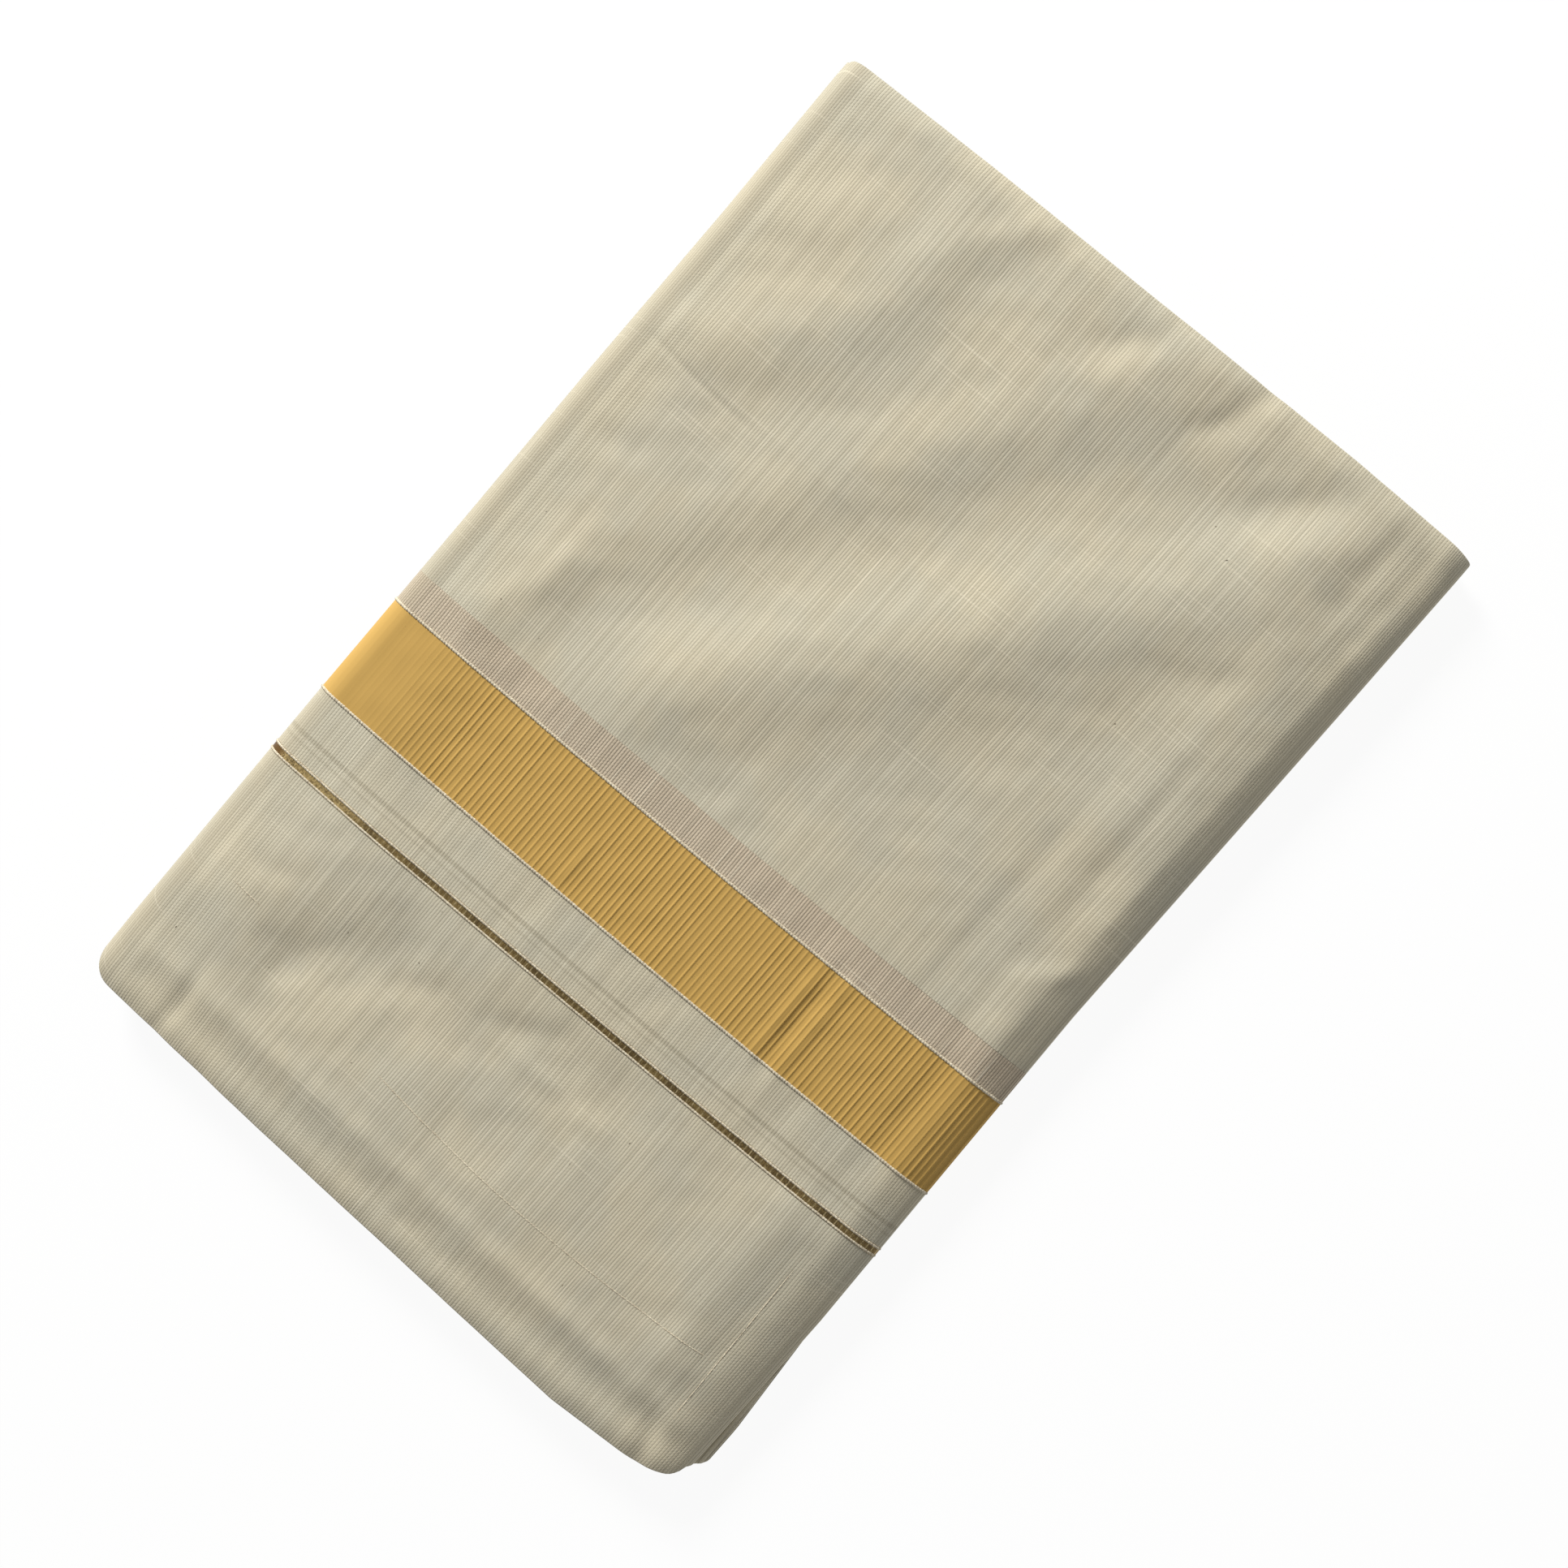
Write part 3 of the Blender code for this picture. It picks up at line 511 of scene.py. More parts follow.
class Graph:
    """A short hand for building one node tree."""

    def __init__(self, tree: bpy.types.NodeTree) -> None:
        """Wraps a tree and empties it."""
        self.tree = tree
        self.tree.nodes.clear()

    @classmethod
    def group(cls, name: str, kind: str, inputs: Sequence[tuple], outputs: Sequence[tuple]) -> "Graph":
        """Makes a node group with named sockets.

        Args:
            name: the group's name.
            kind: ShaderNodeTree or GeometryNodeTree.
            inputs: name, socket type and default of each input.
            outputs: name and socket type of each output.

        Returns:
            The graph, with its Group Input and Group Output nodes in start and end.
        """
        tree = bpy.data.node_groups.new(name, kind)
        graph = cls(tree)
        for label, socket_type, default in inputs:
            socket = tree.interface.new_socket(label, in_out="INPUT", socket_type=socket_type)
            if default is not None:
                socket.default_value = default
        for label, socket_type in outputs:
            tree.interface.new_socket(label, in_out="OUTPUT", socket_type=socket_type)
        graph.start = tree.nodes.new("NodeGroupInput")
        graph.end = tree.nodes.new("NodeGroupOutput")
        return graph

    def given(self, name: str) -> bpy.types.NodeSocket:
        """Returns one of the group's own inputs."""
        return self.start.outputs[name]

    def feed(self, socket: bpy.types.NodeSocket, value: object) -> None:
        """Links a socket, or sets its value."""
        if isinstance(value, bpy.types.NodeSocket):
            self.tree.links.new(value, socket)
        else:
            socket.default_value = value

    def node(self, kind: str, inputs: dict | None = None, **settings: object) -> bpy.types.Node:
        """Adds a node.

        Args:
            kind: the node's type.
            inputs: a value or a socket for each input, by name or index.
            settings: the node's own properties.

        Returns:
            The node.
        """
        made = self.tree.nodes.new(kind)
        for key, value in settings.items():
            setattr(made, key, value)
        for key, value in (inputs or {}).items():
            self.feed(made.inputs[key], value)
        return made

    def math(self, operation: str, *values: object, clamp: bool = False) -> bpy.types.NodeSocket:
        """Adds a Math node and returns its result."""
        made = self.node("ShaderNodeMath", operation=operation, use_clamp=clamp)
        for socket, value in zip(made.inputs, values):
            self.feed(socket, value)
        return made.outputs[0]

    def ramp(self, value: object, low: float, high: float) -> bpy.types.NodeSocket:
        """Returns 0 at low and 1 at high, with level ends."""
        made = self.node(
            "ShaderNodeMapRange",
            {"Value": value, "From Min": low, "From Max": high},
            interpolation_type="SMOOTHSTEP",
        )
        return made.outputs["Result"]

    def blend(self, share: object, first: object, second: object) -> bpy.types.NodeSocket:
        """Returns the colour between two colours."""
        made = self.node("ShaderNodeMix", data_type="RGBA")
        for socket, value in zip((made.inputs[0], made.inputs[6], made.inputs[7]), (share, first, second)):
            self.feed(socket, value)
        return made.outputs[2]

    def noise(
        self, coords: object, scale: object, detail: float = 2.0, stretch: tuple = (1, 1, 1)
    ) -> bpy.types.NodeSocket:
        """Returns the value of a noise, with its coordinates stretched first."""
        mapped = self.node("ShaderNodeMapping", {"Vector": coords, "Scale": stretch}).outputs[0]
        made = self.node("ShaderNodeTexNoise", {"Vector": mapped, "Scale": scale, "Detail": detail})
        return made.outputs[0]


def weave_group() -> bpy.types.NodeTree:
    """Builds the plain weave: ribs along V, crossed by finer threads along U.

    Returns:
        The group, which puts out the cloth's height, the gaps between threads, and each rib's own tone.
    """
    graph = Graph.group(
        "plain_weave",
        "ShaderNodeTree",
        [
            ("Coords", "NodeSocketVector", None),
            ("Rib Pitch", "NodeSocketFloat", 0.001),
            ("Thread Pitch", "NodeSocketFloat", 0.001),
            ("Wander", "NodeSocketFloat", 0.0001),
            ("Gap Width", "NodeSocketFloat", 0.4),
        ],
        [("Height", "NodeSocketFloat"), ("Gap", "NodeSocketFloat"), ("Tone", "NodeSocketFloat")],
    )
    rib_shift, rib_roundness = 0.5, 0.7
    crossing_rise, crossing_gap = 0.4, 0.65
    coords = graph.given("Coords")
    split = graph.node("ShaderNodeSeparateXYZ", {0: coords})
    drift = graph.math("SUBTRACT", graph.noise(coords, 60.0, 3.0, (1, 0.35, 1)), 0.5)
    across = graph.math("MULTIPLY_ADD", drift, graph.given("Wander"), split.outputs[0])
    along = graph.math("MULTIPLY_ADD", drift, graph.given("Wander"), split.outputs[1])
    rib_place = graph.math("DIVIDE", across, graph.given("Rib Pitch"))
    rib_index = graph.math("FLOOR", rib_place)
    rib = graph.math("ABSOLUTE", graph.math("SINE", graph.math("MULTIPLY", rib_place, math.pi)))
    thread_place = graph.math("DIVIDE", along, graph.given("Thread Pitch"))
    shifted = graph.math("MULTIPLY_ADD", rib_index, rib_shift, thread_place)
    thread = graph.math("ABSOLUTE", graph.math("SINE", graph.math("MULTIPLY", shifted, math.pi)))
    rounded = graph.math("POWER", rib, rib_roundness)
    crossing = graph.math("MULTIPLY_ADD", thread, crossing_rise, 1 - crossing_rise)
    height = graph.math("MULTIPLY", rounded, crossing)
    valley = graph.math("SUBTRACT", graph.given("Gap Width"), rib)
    open_rib = graph.math("DIVIDE", valley, graph.given("Gap Width"), clamp=True)
    dotted = graph.math("MULTIPLY_ADD", thread, crossing_gap, 1 - crossing_gap)
    gap = graph.math("MULTIPLY", open_rib, dotted)
    tone = graph.node("ShaderNodeTexWhiteNoise", {"W": rib_index}, noise_dimensions="1D")
    graph.feed(graph.end.inputs["Height"], height)
    graph.feed(graph.end.inputs["Gap"], gap)
    graph.feed(graph.end.inputs["Tone"], tone.outputs["Value"])
    return graph.tree


def mottle_group() -> bpy.types.NodeTree:
    """Builds the slow drift of colour over a cloth, and its thicker threads both ways.

    Returns:
        The group, which puts out a drift, a mask of pale thick threads, and a fine grain.
    """
    graph = Graph.group(
        "cloth_mottle",
        "ShaderNodeTree",
        [
            ("Coords", "NodeSocketVector", None),
            ("Patch Size", "NodeSocketFloat", 0.04),
            ("Slub Share", "NodeSocketFloat", 0.62),
        ],
        [("Drift", "NodeSocketFloat"), ("Slubs", "NodeSocketFloat"), ("Grain", "NodeSocketFloat")],
    )
    coords = graph.given("Coords")
    drift = graph.noise(coords, graph.math("DIVIDE", 1.0, graph.given("Patch Size")), 3.0)
    along_v = graph.noise(coords, 1000.0, 1.0, (1.0, 0.02, 1.0))
    along_u = graph.noise(coords, 900.0, 1.0, (0.02, 1.0, 1.0))
    strongest = graph.math("MAXIMUM", along_v, along_u)
    over = graph.math("SUBTRACT", strongest, graph.given("Slub Share"))
    slubs = graph.math("MULTIPLY", over, 5.0, clamp=True)
    graph.feed(graph.end.inputs["Drift"], graph.ramp(drift, 0.35, 0.65))
    graph.feed(graph.end.inputs["Slubs"], slubs)
    graph.feed(graph.end.inputs["Grain"], graph.noise(coords, 1700.0, 2.0))
    return graph.tree


@dataclass(frozen=True)
class ShadowLine:
    """A faint darker line painted across the cloth: painted shadow."""

    centre: float
    half_width: float
    depth: float


@dataclass(frozen=True)
class Finish:
    """One material: its name, gloss and the material slot that it stands for."""

    name: str
    slot: str
    roughness: float = 0.9
    metallic: float = 0.0
    sheen: float = 0.0
    bump: float = 0.0001

    def start(self) -> tuple[Graph, bpy.types.Node, bpy.types.NodeSocket]:
        """Makes the material with its shader, and reads the cloth's own coordinates.

        Returns:
            The graph, the Principled BSDF and the coordinates.
        """
        material = bpy.data.materials.new(self.name)
        material.use_nodes = True
        graph = Graph(material.node_tree)
        gloss = {"Metallic": self.metallic, "Roughness": self.roughness}
        shader = graph.node("ShaderNodeBsdfPrincipled", gloss)
        if self.sheen:
            shader.inputs["Sheen Weight"].default_value = self.sheen
            shader.inputs["Sheen Roughness"].default_value = 0.5
        output = graph.node("ShaderNodeOutputMaterial")
        graph.tree.links.new(shader.outputs[0], output.inputs["Surface"])
        return graph, shader, self.coords(graph)

    def coords(self, graph: Graph) -> bpy.types.NodeSocket:
        """Returns the run of the cloth: U across the threads and V along them, in metres."""
        return graph.node("ShaderNodeUVMap", uv_map=UV_NAME).outputs[0]

    def roughen(self, graph: Graph, shader: bpy.types.Node, height: bpy.types.NodeSocket) -> None:
        """Gives the shader its bump."""
        bump = graph.node("ShaderNodeBump", {"Strength": 1.0, "Distance": self.bump, "Height": height})
        graph.feed(shader.inputs["Normal"], bump.outputs[0])

    def build(self) -> bpy.types.Material:
        """Makes the material."""
        raise NotImplementedError


@dataclass(frozen=True)
class CottonFinish(Finish):
    """Unbleached plain-weave cotton: ribs, cross threads, slubs and a slow drift of colour, with painted
    shade in the gaps between threads, painted shadow lines and painted shade on the left fold.
    """

    warm: tuple = (0.60, 0.545, 0.405, 1.0)
    cool: tuple = (0.555, 0.52, 0.405, 1.0)
    # Painted shade in the gaps between threads; each rib's random tone and the painted shadow lines lean
    # towards the same dark colour.
    gap_shade_and_tone_colour: tuple = (0.245, 0.212, 0.142, 1.0)
    slub_colour: tuple = (0.70, 0.64, 0.50, 1.0)
    # Painted shade: the colour, and the span (start, full, depth) of the run, that darken the cloth from the
    # start of the left fold onwards, where the light falls brightest.
    rim_shade_colour: tuple = (0.30, 0.262, 0.185, 1.0)
    rim_shade: tuple[float, float, float] = (0.1135, 0.1195, 0.45)
    rib_pitch: float = 0.00102
    thread_pitch: float = 0.0012
    wander: float = 0.0006
    gap_width: float = 0.60
    gap_depth: float = 0.80
    slub_share: float = 0.64
    slub_strength: float = 0.5
    tone_strength: float = 0.22
    patchiness: float = 0.5
    # Painted shadow lines across the cloth.
    lines: tuple[ShadowLine, ...] = ()

    def build(self) -> bpy.types.Material:
        """Makes the material."""
        graph, shader, coords = self.start()
        weave = graph.node("ShaderNodeGroup", node_tree=bpy.data.node_groups["plain_weave"])
        for key, value in {
            "Coords": coords,
            "Rib Pitch": self.rib_pitch,
            "Thread Pitch": self.thread_pitch,
            "Wander": self.wander,
            "Gap Width": self.gap_width,
        }.items():
            graph.feed(weave.inputs[key], value)
        mottle = graph.node("ShaderNodeGroup", node_tree=bpy.data.node_groups["cloth_mottle"])
        graph.feed(mottle.inputs["Coords"], coords)
        graph.feed(mottle.inputs["Slub Share"], self.slub_share)
        base = graph.blend(mottle.outputs["Drift"], self.warm, self.cool)
        tone = graph.math("MULTIPLY", weave.outputs["Tone"], self.tone_strength)
        toned = graph.blend(tone, base, self.gap_shade_and_tone_colour)
        # Painted shade: darkens the cloth from the start of the left fold onwards.
        rim_shaded = graph.blend(self.rim_shade_mask(graph, coords), toned, self.rim_shade_colour)
        least_depth = self.gap_depth - self.patchiness / 2
        patchy = graph.math("MULTIPLY_ADD", mottle.outputs["Grain"], self.patchiness, least_depth)
        depth = graph.math("MULTIPLY", weave.outputs["Gap"], patchy)
        for line in self.lines:
            depth = graph.math("ADD", depth, self.shadow_line_mask(graph, coords, line), clamp=True)
        # Painted shade: the gaps between threads and the painted shadow lines are darkened.
        gapped = graph.blend(depth, rim_shaded, self.gap_shade_and_tone_colour)
        slubs = graph.math("MULTIPLY", mottle.outputs["Slubs"], self.slub_strength)
        graph.feed(shader.inputs["Base Color"], graph.blend(slubs, gapped, self.slub_colour))
        grain = graph.math("MULTIPLY_ADD", mottle.outputs["Grain"], 0.5, weave.outputs["Height"])
        self.roughen(graph, shader, graph.math("MULTIPLY_ADD", mottle.outputs["Slubs"], 0.5, grain))
        return bpy.data.materials[self.name]

    def rim_shade_mask(self, graph: Graph, coords: bpy.types.NodeSocket) -> bpy.types.NodeSocket:
        """Returns how far painted shade darkens the cloth, from the start of the left fold onwards, where the
        lit rim comes out brightest.
        """
        start, full, depth = self.rim_shade
        u = graph.node("ShaderNodeSeparateXYZ", {0: coords}).outputs[0]
        return graph.math("MULTIPLY", graph.ramp(u, start, full), depth)

    def shadow_line_mask(
        self, graph: Graph, coords: bpy.types.NodeSocket, line: ShadowLine
    ) -> bpy.types.NodeSocket:
        """Returns how dark a painted shadow line makes the cloth."""
        v = graph.node("ShaderNodeSeparateXYZ", {0: coords}).outputs[1]
        aside = graph.math("ABSOLUTE", graph.math("SUBTRACT", v, line.centre))
        inside = graph.math("SUBTRACT", 1.0, graph.ramp(aside, line.half_width * 0.4, line.half_width))
        return graph.math("MULTIPLY", inside, line.depth)


@dataclass(frozen=True)
class ZariFinish(Finish):
    """Gold-wrapped thread: grainy flats, with painted highlight on the rib crests and painted shade between
    them (on the thin gold line, its lighter bars and dark dashes), painted highlight towards the left, and
    painted shade on the left fold.
    """

    # On the wide band the crest colour is painted highlight on the raised ribs' tops and the groove colour is
    # painted shade between them; on the thin gold line the same colours paint its lighter bars and dark
    # dashes.
    crest: tuple = (0.92, 0.64, 0.26, 1.0)
    bright: tuple = (0.66, 0.42, 0.135, 1.0)
    deep: tuple = (0.33, 0.195, 0.05, 1.0)
    groove_shade_and_dash: tuple = (0.15, 0.08, 0.022, 1.0)
    # Painted highlight: the gold is made lighter towards the left, over the given span of the run.
    left_highlight_colour: tuple = (0.92, 0.66, 0.24, 1.0)
    left_highlight: tuple[float, float] = (0.074, 0.098)
    # Painted shade: from this span of the run onwards, round the left fold, the gold is darkened to the dark
    # groove colour.
    rim_shade_span: tuple[float, float] = (0.1165, 0.1205)
    rib_pitch: float = 0.0021
    crest_from: float = 0.80
    groove_from: float = 0.35
    groove_depth: float = 0.5
    grain_scale: float = 2300.0
    drift_scale: float = 130.0

    def build(self) -> bpy.types.Material:
        """Makes the material."""
        graph, shader, coords = self.start()
        u = graph.node("ShaderNodeSeparateXYZ", {0: coords}).outputs[0]
        place = graph.math("DIVIDE", u, self.rib_pitch)
        wave = graph.math("COSINE", graph.math("MULTIPLY", place, 2 * math.pi))
        grain = graph.noise(coords, self.grain_scale, 2.0, (1.0, 0.5, 1.0))
        drift = graph.noise(coords, self.drift_scale, 3.0, (1.0, 0.3, 1.0))
        share = graph.math("ADD", graph.math("MULTIPLY", grain, 0.6), graph.math("MULTIPLY", drift, 0.5))
        gold = graph.blend(graph.ramp(share, 0.38, 0.74), self.deep, self.bright)
        # Painted shade between the raised ribs (on the thin line, its dark dashes).
        hollow = graph.math("MULTIPLY", graph.ramp(wave, self.groove_from, 1.0), self.groove_depth)
        groove_shaded_and_dashed = graph.blend(hollow, gold, self.groove_shade_and_dash)
        # Painted highlight on the rib tops (on the thin line, its lighter bars).
        top = graph.math("SUBTRACT", 1.0, graph.ramp(wave, -1.0, -self.crest_from))
        crest_highlight_and_bars = graph.blend(graph.math("MULTIPLY", top, graph.ramp(grain, 0.3, 0.6)), groove_shaded_and_dashed, self.crest)
        # Painted highlight towards the left.
        left_highlight_share = graph.math("MULTIPLY", graph.ramp(u, *self.left_highlight), graph.ramp(grain, 0.25, 0.75))
        left_highlighted = graph.blend(left_highlight_share, crest_highlight_and_bars, self.left_highlight_colour)
        # Painted shade on the left fold, where the light falls brightest.
        rim_shaded_gold = graph.blend(graph.ramp(u, *self.rim_shade_span), left_highlighted, self.groove_shade_and_dash)
        graph.feed(shader.inputs["Base Color"], rim_shaded_gold)
        rough = graph.math("MULTIPLY_ADD", grain, 0.25, self.roughness - 0.12)
        graph.feed(shader.inputs["Roughness"], rough)
        self.roughen(graph, shader, grain)
        return bpy.data.materials[self.name]


@dataclass(frozen=True)
class CordFinish(Finish):
    """Thick cream cotton thread, on a piece without a run of its own."""

    light: tuple = (0.66, 0.60, 0.46, 1.0)
    dark: tuple = (0.40, 0.335, 0.24, 1.0)

    def coords(self, graph: Graph) -> bpy.types.NodeSocket:
        """Returns Object coordinates."""
        return graph.node("ShaderNodeTexCoord").outputs["Object"]

    def build(self) -> bpy.types.Material:
        """Makes the material."""
        graph, shader, coords = self.start()
        grain = graph.noise(coords, 1500.0, 3.0)
        colour = graph.blend(graph.ramp(grain, 0.3, 0.7), self.dark, self.light)
        graph.feed(shader.inputs["Base Color"], colour)
        self.roughen(graph, shader, grain)
        return bpy.data.materials[self.name]


# Its default rim settings paint shade on the left fold.
COTTON = CottonFinish("unbleached_cotton", "cotton", sheen=0.1, bump=0.00008)
GAP_COTTON = CottonFinish(
    "border_cotton",
    "cotton",
    sheen=0.1,
    bump=0.00008,
    # Painted shadow: two faint darker lines across the cotton between the gold band and the gold line.
    lines=(ShadowLine(-0.0842, 0.0011, 0.30), ShadowLine(-0.0872, 0.0007, 0.16)),
)
OPEN_WEAVE = CottonFinish(
    "open_weave_cotton",
    "open_weave",
    sheen=0.08,
    bump=0.00012,
    warm=(0.60, 0.505, 0.375, 1.0),
    cool=(0.57, 0.485, 0.365, 1.0),
    # Painted shade in the open weave's gaps.
    gap_shade_and_tone_colour=(0.15, 0.115, 0.07, 1.0),
    gap_width=0.72,
    gap_depth=0.95,
)
ZARI = ZariFinish("zari_gold", "zari_gold", roughness=0.40, metallic=0.75, bump=0.00006)
ZARI_LINE = ZariFinish(
    "zari_line_gold",
    "zari_gold",
    roughness=0.45,
    metallic=0.7,
    bump=0.00006,
    rib_pitch=0.00215,
    crest_from=0.70,
    groove_from=0.9,
    crest=(0.60, 0.47, 0.25, 1.0),
    bright=(0.36, 0.255, 0.10, 1.0),
    deep=(0.15, 0.105, 0.045, 1.0),
    # Its painted highlight towards the left.
    left_highlight_colour=(0.62, 0.46, 0.20, 1.0),
)
CREAM_CORD = CordFinish("cream_cord", "cotton", bump=0.00008)
SPECK = CordFinish("seed_fleck", "cotton", light=(0.16, 0.12, 0.08, 1.0), dark=(0.07, 0.05, 0.035, 1.0))
LAYER_COTTON = CottonFinish(
    # The hidden layers get no painted shade on the rim.
    "folded_edge_cotton", "inner_cotton", sheen=0.08, bump=0.00008, rim_shade=(1.0, 1.1, 0.0)
)


def shell_mesh(name: str, outer: Grid, inner: Grid, runs: Sequence[np.ndarray]) -> bpy.types.Mesh:
    """Makes a closed thin shell from its outer and inner skins.

    Args:
        name: the mesh's name.
        outer: rows of points of the outer skin, from near to far.
        inner: rows of points of the inner skin, as many points in each row as in the outer one.
        runs: U of each point in a row, and V of each outer row and of each inner row.

    Returns:
        The mesh, with its thread run as a UV map and lift 1 on its outer skin.
    """
    run_u, outer_v, inner_v = runs
    count = len(run_u)
    points = np.concatenate([*outer, *inner])
    first_inner = count * len(outer)
    faces = []
    for start, rows in ((0, len(outer)), (first_inner, len(inner))):
        for row in range(rows - 1):
            base = start + row * count
            for i in range(count - 1):
                quad = (base + i, base + i + 1, base + count + i + 1, base + count + i)
                faces.append(quad if start == 0 else quad[::-1])
    last_outer, last_inner = first_inner - count, first_inner + count * (len(inner) - 1)
    for i in range(count - 1):
        faces.append((i + 1, i, first_inner + i, first_inner + i + 1))
        faces.append((last_outer + i, last_outer + i + 1, last_inner + i + 1, last_inner + i))
    for side in (0, count - 1):
        rim = [row * count + side for row in range(len(outer))]
        back = [first_inner + row * count + side for row in range(len(inner))]
        cap = rim + back[::-1]
        faces.append(tuple(cap if side == 0 else cap[::-1]))
    mesh = bpy.data.meshes.new(name)
    mesh.from_pydata(points.tolist(), [], faces)
    uv_u = np.tile(run_u, len(outer) + len(inner))
    uv_v = np.concatenate([np.repeat(outer_v, count), np.repeat(inner_v, count)])
    corner = np.empty(len(mesh.loops), np.int32)
    mesh.loops.foreach_get("vertex_index", corner)
    uv = mesh.uv_layers.new(name=UV_NAME)
    uv.data.foreach_set("uv", np.stack([uv_u[corner], uv_v[corner]], axis=-1).astype(np.float32).ravel())
    lift = mesh.attributes.new("lift", "FLOAT", "POINT")
    lift.data.foreach_set("value", (np.arange(len(points)) < first_inner).astype(np.float32))
    run = mesh.attributes.new("run", "FLOAT", "POINT")
    run.data.foreach_set("value", uv_u.astype(np.float32))
    mesh.validate()
    mesh.update()
    return mesh


def turn_outwards(mesh: bpy.types.Mesh) -> None:
    """Turns a closed mesh's faces so that its volume is positive."""
    points = np.empty(len(mesh.vertices) * 3)
    mesh.vertices.foreach_get("co", points)
    points = points.reshape(-1, 3)
    mesh.calc_loop_triangles()
    corners = np.empty(len(mesh.loop_triangles) * 3, np.int32)
    mesh.loop_triangles.foreach_get("vertices", corners)
    a, b, c = (points[corners.reshape(-1, 3)[:, i]] for i in range(3))
    if np.einsum("ij,ij->i", a, np.cross(b, c)).sum() < 0:
        mesh.flip_normals()


def place(name: str, mesh: bpy.types.Mesh) -> bpy.types.Object:
    """Puts a mesh into the scene as an object at the origin."""
    obj = bpy.data.objects.new(name, mesh)
    bpy.context.scene.collection.objects.link(obj)
    return obj


def bake_nodes(obj: bpy.types.Object, tree: bpy.types.NodeTree, values: dict) -> None:
    """Runs a Geometry Nodes tree on an object and keeps the result as its plain mesh.

    Args:
        obj: the object that gives the tree its geometry.
        tree: the tree.
        values: a value for each of the tree's inputs, by its name.
    """
    modifier = obj.modifiers.new(tree.name, "NODES")
    modifier.node_group = tree
    sockets = {s.name: s.identifier for s in tree.interface.items_tree if s.in_out == "INPUT"}
    for key, value in values.items():
        modifier[sockets[key]] = value
    graph = bpy.context.evaluated_depsgraph_get()
    made = bpy.data.meshes.new_from_object(obj.evaluated_get(graph), depsgraph=graph)
    obj.modifiers.clear()
    obj.data = made


def finish_tree(graph: Graph, geometry: bpy.types.NodeSocket, shade: bool) -> bpy.types.NodeTree:
    """Ends a Geometry Nodes tree: smooth shading, real meshes and the material.

    Args:
        graph: the tree so far.
        geometry: its last geometry.
        shade: whether the faces are set smooth.

    Returns:
        The finished tree.
    """
    if shade:
        geometry = graph.node("GeometryNodeSetShadeSmooth", {0: geometry}).outputs[0]
    real = graph.node("GeometryNodeRealizeInstances", {0: geometry}).outputs[0]
    dressed = graph.node("GeometryNodeSetMaterial", {0: real, "Material": graph.given("Material")})
    graph.feed(graph.end.inputs[0], dressed.outputs[0])
    return graph.tree


def rib_tree() -> bpy.types.NodeTree:
    """Builds the tree that raises ribs on a cloth's outer skin, along its run."""
    graph = Graph.group(
        "raised_ribs",
        "GeometryNodeTree",
        [
            ("Geometry", "NodeSocketGeometry", None),
            ("Pitch", "NodeSocketFloat", 0.002),
            ("Height", "NodeSocketFloat", 0.0003),
            ("Crispness", "NodeSocketFloat", 2.0),
            ("Unevenness", "NodeSocketFloat", 0.2),
            ("Seed", "NodeSocketInt", 1),
            ("Material", "NodeSocketMaterial", None),
        ],
        [("Geometry", "NodeSocketGeometry")],
    )
    run, lift = (
        graph.node("GeometryNodeInputNamedAttribute", {"Name": name}).outputs[0] for name in ("run", "lift")
    )
    position = graph.math("DIVIDE", run, graph.given("Pitch"))
    index = graph.math("FLOOR", position)
    wave = graph.math("COSINE", graph.math("MULTIPLY", position, 2 * math.pi))
    crest = graph.math("POWER", graph.math("MULTIPLY_ADD", wave, -0.5, 0.5), graph.given("Crispness"))
    least = graph.math("SUBTRACT", 1.0, graph.given("Unevenness"))
    own = graph.node("FunctionNodeRandomValue", {2: least, 3: 1.0, "ID": index, "Seed": graph.given("Seed")})
    rise = graph.math("MULTIPLY", graph.math("MULTIPLY", crest, own.outputs[1]), graph.given("Height"))
    raised = graph.math("MULTIPLY", rise, lift)
    normal = graph.node("GeometryNodeInputNormal").outputs[0]
    offset = graph.node("ShaderNodeVectorMath", {0: normal, "Scale": raised}, operation="SCALE")
    moved = graph.node("GeometryNodeSetPosition", {0: graph.given("Geometry"), "Offset": offset.outputs[0]})
    return finish_tree(graph, moved.outputs[0], shade=False)


